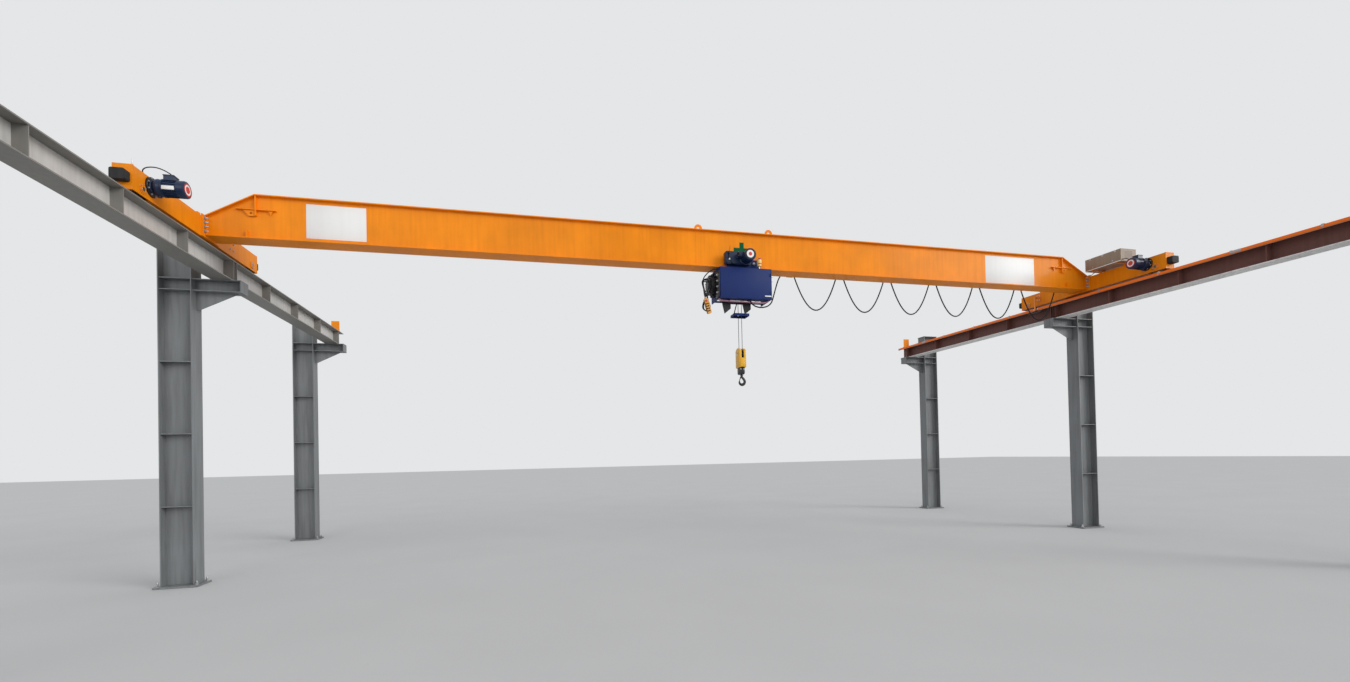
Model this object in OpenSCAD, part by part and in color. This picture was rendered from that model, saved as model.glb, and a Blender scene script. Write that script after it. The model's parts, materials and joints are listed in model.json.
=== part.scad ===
// Single-girder overhead travelling crane: a welded box girder on two end trucks, a wire-rope
// hoist on the girder's bottom flange, a festoon cable, and both runways on their steel columns.
// Millimetres, +Z up. The origin is on the floor, midway between the runways and between their
// ends. The girder lies along X and the runways along Y.

/* [Runway] */
// Distance between the two rail centre lines
gauge = 14680; // [12400:20:16000]
// Distance from one column to the next along the runway
bay = 4700; // [4300:50:5200]
// Height of the rail's running surface above the floor
rail_level = 4610; // [4300:10:5200]
// Width of the flat-bar rail
rail_w = 50; // [40:1:54]
// Height of the flat-bar rail
rail_h = 40; // [30:1:50]
// Depth of the runway beam
beam_h = 300; // [260:5:340]
// Width of the runway beam's flanges
beam_w = 260; // [220:5:300]
// Thickness of the runway beam's flanges
beam_flange_t = 14; // [10:1:20]
// Thickness of the runway beam's web
beam_web_t = 10; // [8:1:14]
// How far the runway beams run past the end columns
beam_overrun = 300; // [200:10:400]
// Web stiffeners in each bay of a runway beam, counted as spaces
beam_spaces = 4; // [3:1:5]

/* [Columns] */
// Depth of the column section, across the hall
column_d = 400; // [340:10:460]
// Width of the column's flanges, along the runway
column_w = 260; // [220:10:300]
// Thickness of the column's flanges
column_flange_t = 14; // [10:1:20]
// Thickness of the column's web
column_web_t = 10; // [8:1:14]
// Distance from the rail's centre line to the column's inner face
column_gap = 350; // [320:5:400]
// Height of the column's cut top above the rail
column_rise = 250; // [200:10:600]
// Thickness of the column's base plate
base_t = 25; // [20:1:40]
// How far the base plate stands out past the column on each side
base_margin = 60; // [50:5:100]
// Diameter of the anchor bolt holes
anchor_d = 26; // [22:1:32]
// Reach of the corbel from the column's face
corbel_reach = 590; // [500:10:640]
// Distance between the small stiffeners up the column's web
stiffener_pitch = 1000; // [900:10:1250]
// Depth of the corbel's stub beam
corbel_h = 170; // [140:5:220]
// Width of the corbel
corbel_w = 220; // [180:10:240]
// Depth of the sloping gusset under the corbel
gusset_h = 250; // [180:10:320]

/* [Bridge girder] */
// Depth of the box girder at mid span
girder_h = 591; // [520:1:680]
// Width of the girder's bottom and top plates
girder_w = 305; // [280:5:330]
// Outside width over the two webs
box_w = 200; // [180:2:210]
// Thickness of the top and bottom plates
plate_t = 14; // [10:1:16]
// Thickness of the webs
web_t = 8; // [6:1:10]
// Distance from the truck to the knee where the top plate starts to slope down
knee_l = 580; // [450:10:700]
// Height of the girder's end above the truck's top
end_rise = 30; // [10:1:60]
// Height of the girder's underside above the truck's underside
girder_lift = 30; // [20:1:50]
// Width of the bolted end plate
end_plate_w = 420; // [400:10:480]
// Thickness of the bolted end plate
end_plate_t = 16; // [12:1:20]

/* [End trucks] */
// Height of the truck's box
truck_h = 266; // [240:1:300]
// Width of the truck's box
truck_w = 180; // [170:1:200]
// Wall of the truck's box
truck_wall = 8; // [6:1:10]
// Distance between the wheel axles
wheelbase = 2600; // [2300:10:2700]
// Distance from a wheel's axle to the truck's end, without its buffer
truck_overhang = 170; // [160:5:220]
// Truck's centre from the girder's centre line, towards the near end
truck_shift = 80; // [0:5:120]
// Diameter of the wheel's tread
wheel_d = 200; // [180:2:220]
// Radial height of the wheel's two flanges
wheel_flange = 18; // [14:1:20]
// Gap between the rail's side and the wheel's flange
rail_play = 5; // [3:0.5:8]
// Thickness of the wheel's flanges
wheel_flange_t = 15; // [12:1:18]
// Diameter of the wheel's axle
axle_d = 50; // [40:1:60]
// Gap between the truck's underside and the rail
truck_clear = 24; // [20:1:40]
// Length of the travel motor from the truck's face
motor_l = 350; // [300:5:400]
// Diameter of the travel motor
motor_d = 190; // [160:2:200]
// Length of the rubber buffer
buffer_l = 90; // [60:5:120]

/* [Hoist] */
// Hoist's centre along the girder at rest, from mid span
hoist_x = 210; // [-1000:10:1000]
// Length of the drum frame
drum_frame_l = 880; // [800:10:960]
// Height of the drum frame and its front box
drum_frame_h = 490; // [440:5:520]
// Diameter of the rope drum
drum_d = 240; // [200:5:260]
// Diameter of the trolley's wheels
trolley_wheel_d = 110; // [100:2:120]
// Diameter of the wire rope
rope_d = 9; // [8:0.5:12]
// Height of the hook block's top above the floor
block_top = 3390; // [3000:10:3600]
// Diameter of the sheave in the hook block
sheave_d = 150; // [130:2:170]

/* [Festoon] */
// Loops of cable between the hoist and the girder's end
loops = 6; // [6:1:6]
// Diameter of the cable
cable_d = 22; // [16:1:26]
// Distance from the hoist's centre to the first clamp
tow_reach = 1020; // [960:10:1100]

/* [Bridge position] */
// Bridge's centre along the runway at rest
bridge_y = -600; // [-1500:50:1500]

/* [Hidden] */
$fn = 48;
// Gap of a piece that rests on another body
seat = 0.3;
// Radial gap of a wheel on its axle
run_gap = 0.05;
// Overlap of pieces that are welded together
weld = 1;

// Colours
orange = [0.93, 0.54, 0.06];
grey_steel = [0.55, 0.56, 0.57];
brown_steel = [0.45, 0.30, 0.28];
navy = [0.06, 0.13, 0.25];
hoist_blue = [0.10, 0.20, 0.45];
black = [0.06, 0.06, 0.07];
yellow = [0.88, 0.67, 0.10];
beige = [0.62, 0.56, 0.50];
bar_orange = [1.0, 0.55, 0.2];
steel = [0.70, 0.71, 0.72];

// Levels
beam_top = rail_level - rail_h;
beam_bottom = beam_top - beam_h;
column_top = rail_level + column_rise;
truck_bottom = rail_level + truck_clear;
truck_top = truck_bottom + truck_h;
girder_bottom = truck_bottom + girder_lift;
girder_top = girder_bottom + girder_h;
girder_end_top = truck_top + end_rise;
flange_top = girder_bottom + plate_t;
axle_z = rail_level + wheel_d / 2 + seat;

// Places across the hall
rail_x = gauge / 2;
truck_face = rail_x - truck_w / 2;
column_face = rail_x + column_gap;
knee_x = truck_face - knee_l;
knee_h = 280;
knee_eye_d = 30;
shelf_z = girder_top - 205;
lug_xs = [-480, 740];
lug_t = 12;
lug_r = 65;
lug_eye_z = 62;
lug_eye_d = 50;
diaphragm_pitch = knee_x / 3.7;
// Places along the runway
runway_half = bay + beam_overrun;
stop_t = 60;
stop_y = runway_half - 90;
truck_y = bridge_y - truck_shift;
truck_l = wheelbase + 2 * truck_overhang;
wheel_ys = [truck_y - wheelbase / 2, truck_y + wheelbase / 2];
motor_y = wheel_ys[0] + 150;
motor_z = truck_top - 105;
gear_l = 125;
fan_l = 81;
box_reach = 46;
gland_l = 15;
gland_d = 34;
lead_gland_d = 22;
collector_at = wheelbase / 2 - 350;

// Conductor bar beside the right runway beam's top flange
bar_w = 36;
bar_h = 50;
bar_bare = 8;
bar_edge = 14;
bar_at_x = rail_x - beam_w / 2 - 36;
bar_z0 = beam_top - bar_h;

// Trolley and drum
trolley_l = 560;
trolley_axle = 190;
trolley_axle_z = flange_top + seat + trolley_wheel_d / 2;
pin_d = 28;
side_t = 12;
side_gap = 14;
side_y = girder_w / 2 + side_gap;
side_top = flange_top + trolley_wheel_d + 8;
frame_top = girder_bottom - 40;
frame_bottom = frame_top - drum_frame_h;
frame_d = 300;
frame_y = frame_d / 2;
drum_z = frame_top - 225;
box_d = 150;
trolley_motor_x = 5;
trolley_motor_l = 240;
trolley_motor_z = flange_top + 100;
limit_z = frame_bottom - 215;
gear_end = -drum_frame_l / 2 - 110;
hank_x = gear_end - 75;
hank_y = -150;
hank_t = 60;
hank_w = 120;
hank_h = 520;
hank_bore = 84;
hank_top = drum_z + 60;
peg_d = 12;
shaft_d = 70;
rod_lean = atan(70 / 215);
peg_z = hank_top - (hank_w - hank_bore) / 2 - seat - peg_d / 2;
groove_r = sheave_d / 2 - 5;
fall_y = groove_r + rope_d / 2 + seat;
rope_top = drum_z - sqrt(pow(drum_d / 2, 2) - pow(fall_y - rope_d / 2, 2)) - seat;
block_h = 320;
block_w = 175;
block_d = 190;
sheave_z = block_top - 110;
cross_top = block_top - block_h - 52;
cross_h = 58;
shank_d = 34;
hook_bowl = 50;
hook_section = 42;

// Festoon
track_y = girder_w / 2 + 90;
track_w = 34;
track_z = flange_top + trolley_wheel_d + 34;
clamp_w = 150;
saddle_z = girder_bottom + 36;
tow_x = hoist_x + tow_reach;
end_clamp_x = truck_face - 300;
clamp_pitch = (end_clamp_x - tow_x) / loops;
loop_sag = 560;
// The saddle lies inside the cable's arch, which bends in straight steps of 45 degrees
saddle_r = clamp_w / 2 * cos(22.5) - cable_d / 2 - seat;
cable_top = saddle_z + clamp_w / 2 + cable_d / 2;

// Other leads: their diameters and the points that they pass, in millimetres. The tow lead runs from
// the tow saddle's centre, the others from the middle of the runways at floor level
lead_d = 12;
pendant_d = 16;
tow_lead = [[0, 0, 75], [-15, 0, 75], [-70, 0, 69], [-125, 0, 48], [-175, -2, 8], [-213, -7, -50], [-280, -37, -200],
            [-365, -122, -375], [-475, -247, -545], [-635, -372, -645], [-780, -445, -672],
            [-860, -478, -662], [-910, -491, -632], [-930, -492, -600], [-930, -492, -581]];
pendant_lead = [[-241, -830, 4600], [-262, -830, 4600], [-310, -820, 4592], [-360, -795, 4565],
                [-400, -765, 4525], [-415, -750, 4488], [-415, -750, 4459.3]];
end_lead = [[6950, -357.5, 4775], [6965, -357.5, 4775], [7005, -357.5, 4770], [7050, -356, 4755], [7100, -352, 4732],
            [7150, -346, 4715], [7200, -340, 4710], [7235, -340, 4710]];
motor_lead_l = [[-7270, -1940, 4912], [-7270, -1940, 4935], [-7255, -1931, 4965], [-7215, -1911, 4990],
                [-7165, -1885, 5000], [-7115, -1859, 4990], [-7075, -1837, 4970], [-7060, -1830, 4960],
                [-7060, -1830, 4948]];
supply_lead_l = [[-7060, -1765, 4905], [-7060, -1740, 4905], [-7085, -1690, 4910], [-7140, -1635, 4918],
                 [-7205, -1585, 4913], [-7255, -1525, 4907.5], [-7280, -1450, 4907.2], [-7280, -1100, 4907.2],
                 [-7280, -860, 4907.2]];
motor_lead_r = [[7060, -1765, 4905], [7060, -1740, 4905], [7070, -1695, 4915], [7085, -1650, 4940],
                [7097, -1610, 4965], [7100, -1585, 4975], [7100, -1565, 4975]];
collector_lead = [[7360, -860, 4985], [7360, -830, 4985], [7357, -770, 4965], [7350, -700, 4925],
                  [7343, -630, 4908], [7335, -500, 4907.2], [7310, 0, 4907.2], [7310, 300, 4907.2]];

// Which piece to draw

// A block given by its lowest and highest corners
module block(lo, hi) {
    translate(lo) cube(hi - lo);
}

// A cylinder along X, from its start to its end
module bar_x(x0, x1, y, z, d) {
    translate([x0, y, z]) rotate([0, 90, 0]) cylinder(h = x1 - x0, d = d);
}

// A cylinder along Y
module bar_y(y0, y1, x, z, d) {
    translate([x, y0, z]) rotate([-90, 0, 0]) cylinder(h = y1 - y0, d = d);
}

// A rectangle with round corners, made of squares and circles
module round_rect(w, h, r) {
    translate([r, 0]) square([w - 2 * r, h]);
    translate([0, r]) square([w, h - 2 * r]);
    for (x = [r, w - r], y = [r, h - r]) translate([x, y]) circle(r);
}

// A rolled section's outline, centred on its web, standing on its lower flange
module i_outline(h, b, tf, tw) {
    translate([-b / 2, 0]) square([b, tf]);
    translate([-b / 2, h - tf]) square([b, tf]);
    translate([-tw / 2, 0]) square([tw, h]);
}

// One column: its flanges face across the hall and its base plate stands on the floor
module column(side, y) {
    color(grey_steel)
    translate([side * column_face, y, 0]) mirror([side < 0 ? 1 : 0, 0, 0]) {
        translate([column_d / 2, 0, base_t - weld]) linear_extrude(column_top - base_t - 10)
            rotate(90) translate([0, -column_d / 2])
                i_outline(column_d, column_w, column_flange_t, column_web_t);
        difference() {
            translate([-base_margin, -column_w / 2 - base_margin, 0])
                cube([column_d + 2 * base_margin, column_w + 2 * base_margin, base_t]);
            for (x = [-base_margin / 2, column_d + base_margin / 2],
                 yy = [-column_w / 2, column_w / 2])
                translate([x, yy, -1]) cylinder(h = base_t + 2, d = anchor_d);
        }
        // Cap plate
        block([-10, -column_w / 2 - 10, column_top - 12], [column_d + 10, column_w / 2 + 10, column_top]);
        // Stiffeners between the flanges, behind the corbel's plates and up the shaft
        for (z = [for (k = [1 : 3]) beam_bottom - corbel_h - k * stiffener_pitch, beam_bottom - corbel_h, beam_bottom - 12])
            block([column_flange_t - weld, -column_w / 2 + 8, z],
                  [column_d - column_flange_t + weld, column_w / 2 - 8, z + 12]);
    }
}

// Stub beam with an end plate and a sloping gusset, which carries the runway beam
module corbel(side, y) {
    inner = column_face - corbel_reach;
    translate([0, y, 0]) mirror([side < 0 ? 1 : 0, 0, 0]) {
        translate([inner, 0, beam_bottom - corbel_h]) rotate([90, 0, 90])
            linear_extrude(corbel_reach) i_outline(corbel_h, corbel_w, 12, 10);
        block([inner, -corbel_w / 2, beam_bottom - corbel_h], [inner + 12, corbel_w / 2, beam_bottom]);
        translate([0, 5, 0]) rotate([90, 0, 0]) linear_extrude(10)
            polygon([[inner + 60, beam_bottom - corbel_h + weld], [column_face, beam_bottom - corbel_h + weld],
                     [column_face, beam_bottom - corbel_h - gusset_h],
                     [column_face - 40, beam_bottom - corbel_h - gusset_h]]);
    }
}

module corbels() {
    color(grey_steel) for (side = [-1, 1], k = [-1, 0, 1]) corbel(side, k * bay);
}

// Runway beam with its web stiffeners and the bolted joint over the middle column
module runway_beam(side, tint) {
    step = bay / beam_spaces;
    count = 2 * beam_spaces;
    color(tint) translate([side * rail_x, 0, beam_bottom]) {
        translate([0, runway_half, 0]) rotate([90, 0, 0])
            linear_extrude(2 * runway_half) i_outline(beam_h, beam_w, beam_flange_t, beam_web_t);
        for (k = [0 : count])
            block([-beam_w / 2 + 8, -bay + k * step - 5, beam_flange_t - weld],
                  [beam_w / 2 - 8, -bay + k * step + 5, beam_h - beam_flange_t + weld]);
        for (y = [-55, 45])
            block([-beam_w / 2 + 2, y, beam_flange_t - weld], [beam_w / 2 - 2, y + 10, beam_h - beam_flange_t + weld]);
    }
}

module rails() {
    color(steel) for (side = [-1, 1])
        block([side * rail_x - rail_w / 2, -runway_half, beam_top], [side * rail_x + rail_w / 2, runway_half, rail_level]);
}

// Stops at the four runway ends, at the height of the trucks' buffers
module runway_stops() {
    h = truck_clear + truck_h * 0.72;
    color(orange) for (side = [-1, 1], end = [-1, 1])
        translate([side * rail_x, end * stop_y, rail_level]) mirror([0, end < 0 ? 1 : 0, 0]) {
            block([-80, -stop_t / 2, -rail_h], [-rail_w / 2, stop_t / 2, 0]);
            block([rail_w / 2, -stop_t / 2, -rail_h], [80, stop_t / 2, 0]);
            block([-80, -stop_t / 2, 0], [80, -stop_t / 2 + 16, h]);
            rotate([90, 0, 90]) translate([0, 0, -6]) linear_extrude(12)
                polygon([[-stop_t / 2 + 15, 0], [80, 0], [80, 20], [-stop_t / 2 + 15, h - 20]]);
        }
}

// Conductor bar in its insulating cover, which leaves the lower edge bare, clipped to arms from
// the right runway beam
module conductor_bar() {
    color(bar_orange) translate([bar_at_x, runway_half, bar_z0]) rotate([90, 0, 0])
        linear_extrude(2 * runway_half) {
            translate([-bar_w / 2, bar_bare]) round_rect(bar_w, bar_h - bar_bare, 7);
            translate([-bar_edge / 2, 0]) square([bar_edge, bar_h / 2]);
        }
    color(steel) for (k = [0 : 2 * beam_spaces]) translate([0, (k - beam_spaces) * bay / (beam_spaces + 0.5), 0]) {
        block([bar_at_x - bar_w / 2 - 4, -15, beam_top], [rail_x - beam_w / 2 + 40, 15, beam_top + 8]);
        for (x = [-bar_w / 2 - 4, bar_w / 2 - 2])
            block([bar_at_x + x, -15, bar_z0 + bar_bare + 10], [bar_at_x + x + 6, 15, beam_top + 1]);
    }
}

// Webs and plates of the box girder, with both ends sloping down to the trucks
module girder_profile(margin) {
    polygon([[-truck_face + end_plate_t - weld, girder_bottom + margin],
             [truck_face - end_plate_t + weld, girder_bottom + margin],
             [truck_face - end_plate_t + weld, girder_end_top - margin],
             [knee_x, girder_top - margin], [-knee_x, girder_top - margin],
             [-truck_face + end_plate_t - weld, girder_end_top - margin]]);
}

module girder_box() {
    color(orange) translate([0, bridge_y, 0]) {
        for (y = [-box_w / 2 + web_t, box_w / 2])
            translate([0, y, 0]) rotate([90, 0, 0]) linear_extrude(web_t) girder_profile(plate_t / 2);
        // Bottom plate
        block([-truck_face + end_plate_t - weld, -girder_w / 2, girder_bottom],
              [truck_face - end_plate_t + weld, girder_w / 2, flange_top]);
        // Top plate with its sloping ends
        translate([0, girder_w / 2, 0]) rotate([90, 0, 0]) linear_extrude(girder_w) difference() {
            girder_profile(0);
            girder_profile(plate_t);
            block2d([-truck_face, girder_bottom - 1], [truck_face, girder_bottom + plate_t + 1]);
        }
        // End plates that bolt to the trucks
        for (side = [-1, 1]) mirror([side < 0 ? 1 : 0, 0, 0])
            block([truck_face - end_plate_t, -end_plate_w / 2, truck_bottom + 4],
                  [truck_face, end_plate_w / 2, girder_end_top - 4]);
        // Diaphragms inside the box
        for (k = [-3 : 3]) let (x = k * diaphragm_pitch)
            block([x - 4, -box_w / 2 + 1, flange_top - weld], [x + 4, box_w / 2 - 1, girder_top - plate_t + weld]);
    }
}

// A rectangle given by two corners
module block2d(lo, hi) {
    translate(lo) square(hi - lo);
}

// Knee brackets, lifting lugs and hoist stops, all welded to the girder
module girder_fittings() {
    color(orange) translate([0, bridge_y, 0]) {
        for (side = [-1, 1]) mirror([side < 0 ? 1 : 0, 0, 0]) {
            for (s = [-1, 1]) mirror([0, s < 0 ? 1 : 0, 0]) {
                block([knee_x - 12, box_w / 2, girder_top - knee_h], [knee_x, box_w / 2 + 44, girder_top - plate_t]);
                difference() {
                    block([knee_x - 245, box_w / 2, shelf_z], [knee_x + 225, box_w / 2 + 40, shelf_z + 10]);
                    for (dx = [-170, 140]) translate([knee_x + dx, box_w / 2 + 12, shelf_z - 1]) cube([70, 14, 12]);
                }
                // Eyed gusset on the truck's side of the plate and a small tab on its other side
                translate([0, box_w / 2 + 22, 0]) rotate([90, 0, 0]) linear_extrude(10) {
                    difference() {
                        polygon([[knee_x - 1, shelf_z + 1], [knee_x + 150, shelf_z + 1], [knee_x + 78, shelf_z - 82],
                                 [knee_x - 1, shelf_z - 82]]);
                        translate([knee_x + 50, shelf_z - 44]) circle(d = knee_eye_d);
                    }
                    polygon([[knee_x - 150, shelf_z + 1], [knee_x - 205, shelf_z + 1], [knee_x - 178, shelf_z - 62]]);
                }
            }
            // Hoist stop across the bottom flange's lips
            for (s = [-1, 1])
                block([knee_x + 90, s > 0 ? box_w / 2 : -girder_w / 2 + 4, flange_top],
                      [knee_x + 106, s > 0 ? girder_w / 2 - 4 : -box_w / 2, flange_top + 90]);
        }
        // Lifting lugs on the top plate
        for (x = lug_xs) difference() {
            translate([x, lug_t / 2, girder_top]) rotate([90, 0, 0]) linear_extrude(lug_t) {
                translate([-lug_r, 0]) square([2 * lug_r, lug_eye_z]);
                intersection() {
                    translate([0, lug_eye_z]) circle(lug_r);
                    translate([-lug_r, 0]) square(3 * lug_r);
                }
            }
            bar_y(-lug_t, lug_t, x, girder_top + lug_eye_z, lug_eye_d);
        }
    }
}

// Hollow end truck with wheel pockets, bearing housings and end plates
module end_truck(side) {
    pocket = wheel_d / 2 + wheel_flange + 14;
    color(orange) translate([side * rail_x, truck_y, 0]) difference() {
        union() {
            difference() {
                block([-truck_w / 2, -truck_l / 2 + 10, truck_bottom], [truck_w / 2, truck_l / 2 - 10, truck_top]);
                block([-truck_w / 2 + truck_wall, -truck_l / 2, truck_bottom + truck_wall],
                      [truck_w / 2 - truck_wall, truck_l / 2, truck_top - truck_wall]);
                for (y = [-wheelbase / 2, wheelbase / 2])
                    block([-truck_w / 2 + truck_wall + 4, y - pocket, truck_bottom - 1],
                          [truck_w / 2 - truck_wall - 4, y + pocket, truck_bottom + truck_wall + 1]);
            }
            for (s = [-1, 1])
                block([-truck_w / 2 - 2, s > 0 ? truck_l / 2 - 11 : -truck_l / 2, truck_bottom - 2],
                      [truck_w / 2 + 2, s > 0 ? truck_l / 2 : -truck_l / 2 + 11, truck_top + 4]);
            // Flanged bearing housings
            for (y = [-wheelbase / 2, wheelbase / 2], s = [-1, 1]) mirror([s < 0 ? 1 : 0, 0, 0]) {
                bar_x(truck_w / 2 - weld, truck_w / 2 + 6, y, axle_z, axle_d + 60);
                bar_x(truck_w / 2 - weld, truck_w / 2 + 12, y, axle_z, axle_d + 24);
            }
            // Entries of the leads
            if (side < 0) {
                bar_z(70, -1260, truck_top - weld, truck_top + 12, lead_gland_d);
                block([40, -180, truck_top - weld], [80, -120, truck_top + 30]);
            } else {
                bar_x(-truck_w / 2 - gland_l, -truck_w / 2 + weld, 340, 4710, gland_d);
                block([-50, 980, truck_top - weld], [-10, 1040, truck_top + 30]);
            }
        }
        for (y = [-wheelbase / 2, wheelbase / 2])
            bar_x(-truck_w, truck_w, y, axle_z, axle_d + 2 * run_gap);
    }
}

// Double-flanged wheel, forged with the axle that turns in the truck's bearings
module wheel(side, y) {
    tread = rail_w + 2 * rail_play;
    w = tread + 2 * wheel_flange_t;
    color(steel) translate([side * rail_x, y, axle_z]) rotate([0, 90, 0]) {
        translate([0, 0, -w / 2]) cylinder(h = w, d = wheel_d);
        for (z = [-w / 2, w / 2 - wheel_flange_t])
            translate([0, 0, z]) cylinder(h = wheel_flange_t, d = wheel_d + 2 * wheel_flange);
        translate([0, 0, -w / 2 - 16]) cylinder(h = w + 32, d = axle_d + 40);
        translate([0, 0, -truck_w / 2 - 10]) cylinder(h = truck_w + 20, d = axle_d);
    }
}

module buffers() {
    color(black) for (side = [-1, 1], s = [-1, 1])
        translate([side * rail_x, truck_y + s * (truck_l / 2), truck_bottom + truck_h * 0.26])
            rotate([s < 0 ? 90 : -90, 0, 0]) translate([-70, s < 0 ? 0 : -115, 0])
                linear_extrude(buffer_l) round_rect(140, 115, 20);
}

// Finned stator and fan cover, turned about Z from the adapter ring at their foot
module motor(l, d) {
    rotate_extrude() polygon([[0, 0], [d / 2 + 5, 0], [d / 2 + 5, 14], [d / 2 - 8, 18], [d / 2 - 8, l - fan_l],
                              [d / 2 - 1, l - fan_l], [d / 2, l - fan_l + 3], [d / 2, l - 16], [d / 2 - 4, l - 6],
                              [d / 2 - 14, l], [0, l]]);
    for (k = [0 : 19]) rotate(k * 18 + 4)
        translate([d / 2 - 9, -1.5, 16]) cube([9, 3, l - fan_l - 14]);
}

// Geared travel motor on the truck's inner face
module travel_drive(side) {
    r = motor_d / 2;
    x0 = truck_face;
    box_z = motor_z + r - 14;
    color(navy) {
        translate([side * x0, motor_y, motor_z]) rotate([0, -90 * side, 0]) {
            // Bolted flange, neck and swelling gear case
            rotate_extrude() polygon([[0, 0], [r + 15, 0], [r + 15, 18], [r + 12, 22], [r - 16, 22], [r - 22, 34],
                                      [r - 12, 50], [r - 2, 64], [r + 2, 84], [r - 3, 104], [r - 14, gear_l + weld],
                                      [0, gear_l + weld]]);
            translate([0, 0, gear_l]) motor(motor_l - gear_l, motor_d);
        }
        mirror([side < 0 ? 1 : 0, 0, 0]) {
            // Drain boss under the gear case
            bar_z(x0 - 84, motor_y, motor_z - r - 12, motor_z - r + 20, 40);
            // Terminal box with its lid, and the glands of its leads
            block([x0 - 240, motor_y - 50, box_z], [x0 - 140, motor_y + 50, box_z + box_reach + 4]);
            block([x0 - 244, motor_y - 54, box_z + box_reach + 3], [x0 - 136, motor_y + 54, box_z + box_reach + 14]);
            bar_y(motor_y + 49, motor_y + 50 + gland_l, x0 - 190, box_z + 29, lead_gland_d);
            if (side < 0) bar_z(x0 - 190, motor_y, box_z + box_reach + 13, box_z + box_reach + 26, lead_gland_d);
        }
    }
}

// Sheet-steel cabinet on two brackets across the right truck
module control_cabinet() {
    x0 = truck_face - 200;
    x1 = truck_face + 150;
    y0 = bridge_y - 950;
    y1 = bridge_y - 275;
    z0 = truck_top + 45;
    color(beige) {
        block([x0, y0, z0], [x1, y1, z0 + 220]);
        bar_y(y0 - gland_l, y0 + weld, 7100, z0 + 30, lead_gland_d);
        bar_y(y1 - weld, y1 + gland_l, 7360, z0 + 40, lead_gland_d);
    }
    color(orange) for (y = [y0 + 90, y1 - 130]) {
        block([x0 + 20, y, z0 - 8], [x1 - 10, y + 40, z0 + 0]);
        block([truck_face + 20, y, truck_top], [truck_face + 60, y + 40, z0 - 7]);
        block([x1 - 40, y, truck_top], [x1 - 10, y + 40, z0 - 7]);
    }
}

// Arm from the truck down to the two shoes that are pressed up against the conductor's bare edge
module collector() {
    y = bridge_y + collector_at;
    arm_x = bar_at_x - bar_w / 2 - 26;
    shoe_top = bar_z0 - seat;
    color(orange) {
        block([truck_face - 8, y - 40, truck_top - 170], [truck_face, y + 40, truck_top - 40]);
        block([arm_x, y - 15, truck_top - 120], [truck_face - 7, y + 15, truck_top - 90]);
        block([arm_x, y - 15, shoe_top - 60], [arm_x + 14, y + 15, truck_top - 90]);
    }
    color(black) {
        block([arm_x, y - 150, shoe_top - 48], [arm_x + 14, y + 150, shoe_top - 30]);
        for (dy = [-150, 90]) {
            block([arm_x, y + dy, shoe_top - 48], [bar_at_x + 12, y + dy + 60, shoe_top - 30]);
            translate([bar_at_x - 12, y + dy + 60, shoe_top - 31]) rotate([90, 0, 0]) linear_extrude(60)
                polygon([[0, 0], [24, 0], [24, 19], [18, 31], [6, 31], [0, 19]]);
        }
    }
}

// Square track for the cable carriers, on arms above the trolley wheels
module festoon_track() {
    x0 = -5600 * gauge / 14680;
    x1 = end_clamp_x + 60;
    color(steel) translate([0, bridge_y, 0]) {
        difference() {
            block([x0, track_y - track_w / 2, track_z], [x1, track_y + track_w / 2, track_z + 32]);
            block([x0 - 1, track_y - track_w / 2 + 3, track_z + 3], [x1 + 1, track_y + track_w / 2 - 3, track_z + 29]);
            block([x0 - 1, track_y - 7, track_z - 1], [x1 + 1, track_y + 7, track_z + 4]);
        }
        for (k = [0 : 8]) translate([x0 + 60 + k * (x1 - x0 - 120) / 8, 0, track_z + 32]) {
            block([-20, box_w / 2, 0], [20, track_y + track_w / 2, 5]);
            block([-20, box_w / 2, -30], [20, box_w / 2 + 5, 5]);
        }
        // Fixed end clamp
        for (s = [-1, 1]) mirror_y(track_y, s)
            block([end_clamp_x - 20, track_y + 17, saddle_z + clamp_w / 2 - 25], [end_clamp_x + 20, track_y + 22, track_z + 1]);
        saddle(end_clamp_x);
    }
}

// Mirror about the plane of constant Y when s is negative
module mirror_y(y, s) {
    translate([0, y, 0]) mirror([0, s < 0 ? 1 : 0, 0]) translate([0, -y, 0]) children();
}

// Half-round saddle that a cable lies over
module saddle(x) {
    translate([x, track_y, saddle_z]) rotate([90, 0, 0]) translate([0, 0, -22]) linear_extrude(44)
        difference() {
            circle(saddle_r);
            circle(saddle_r - 8);
            translate([-clamp_w, -2 * clamp_w]) square([2 * clamp_w, 2 * clamp_w]);
        }
}

// Cable carrier number k, hung in the track
module carrier(k) {
    x = tow_x + k * clamp_pitch;
    color(steel) translate([0, bridge_y, 0]) {
        for (s = [-1, 1]) mirror_y(track_y, s)
            block([x - 20, track_y + 18, saddle_z + clamp_w / 2 - 25], [x + 20, track_y + 22, cable_top + 10]);
        block([x - 20, track_y - 22, cable_top + 5], [x + 20, track_y + 22, cable_top + 10]);
        block([x - 20, track_y - 4, cable_top + 9], [x + 20, track_y + 4, track_z + 20]);
        for (dx = [-14, 14]) bar_y(track_y - 12, track_y + 12, x + dx, track_z + 14, 18);
        saddle(x);
    }
}

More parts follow.
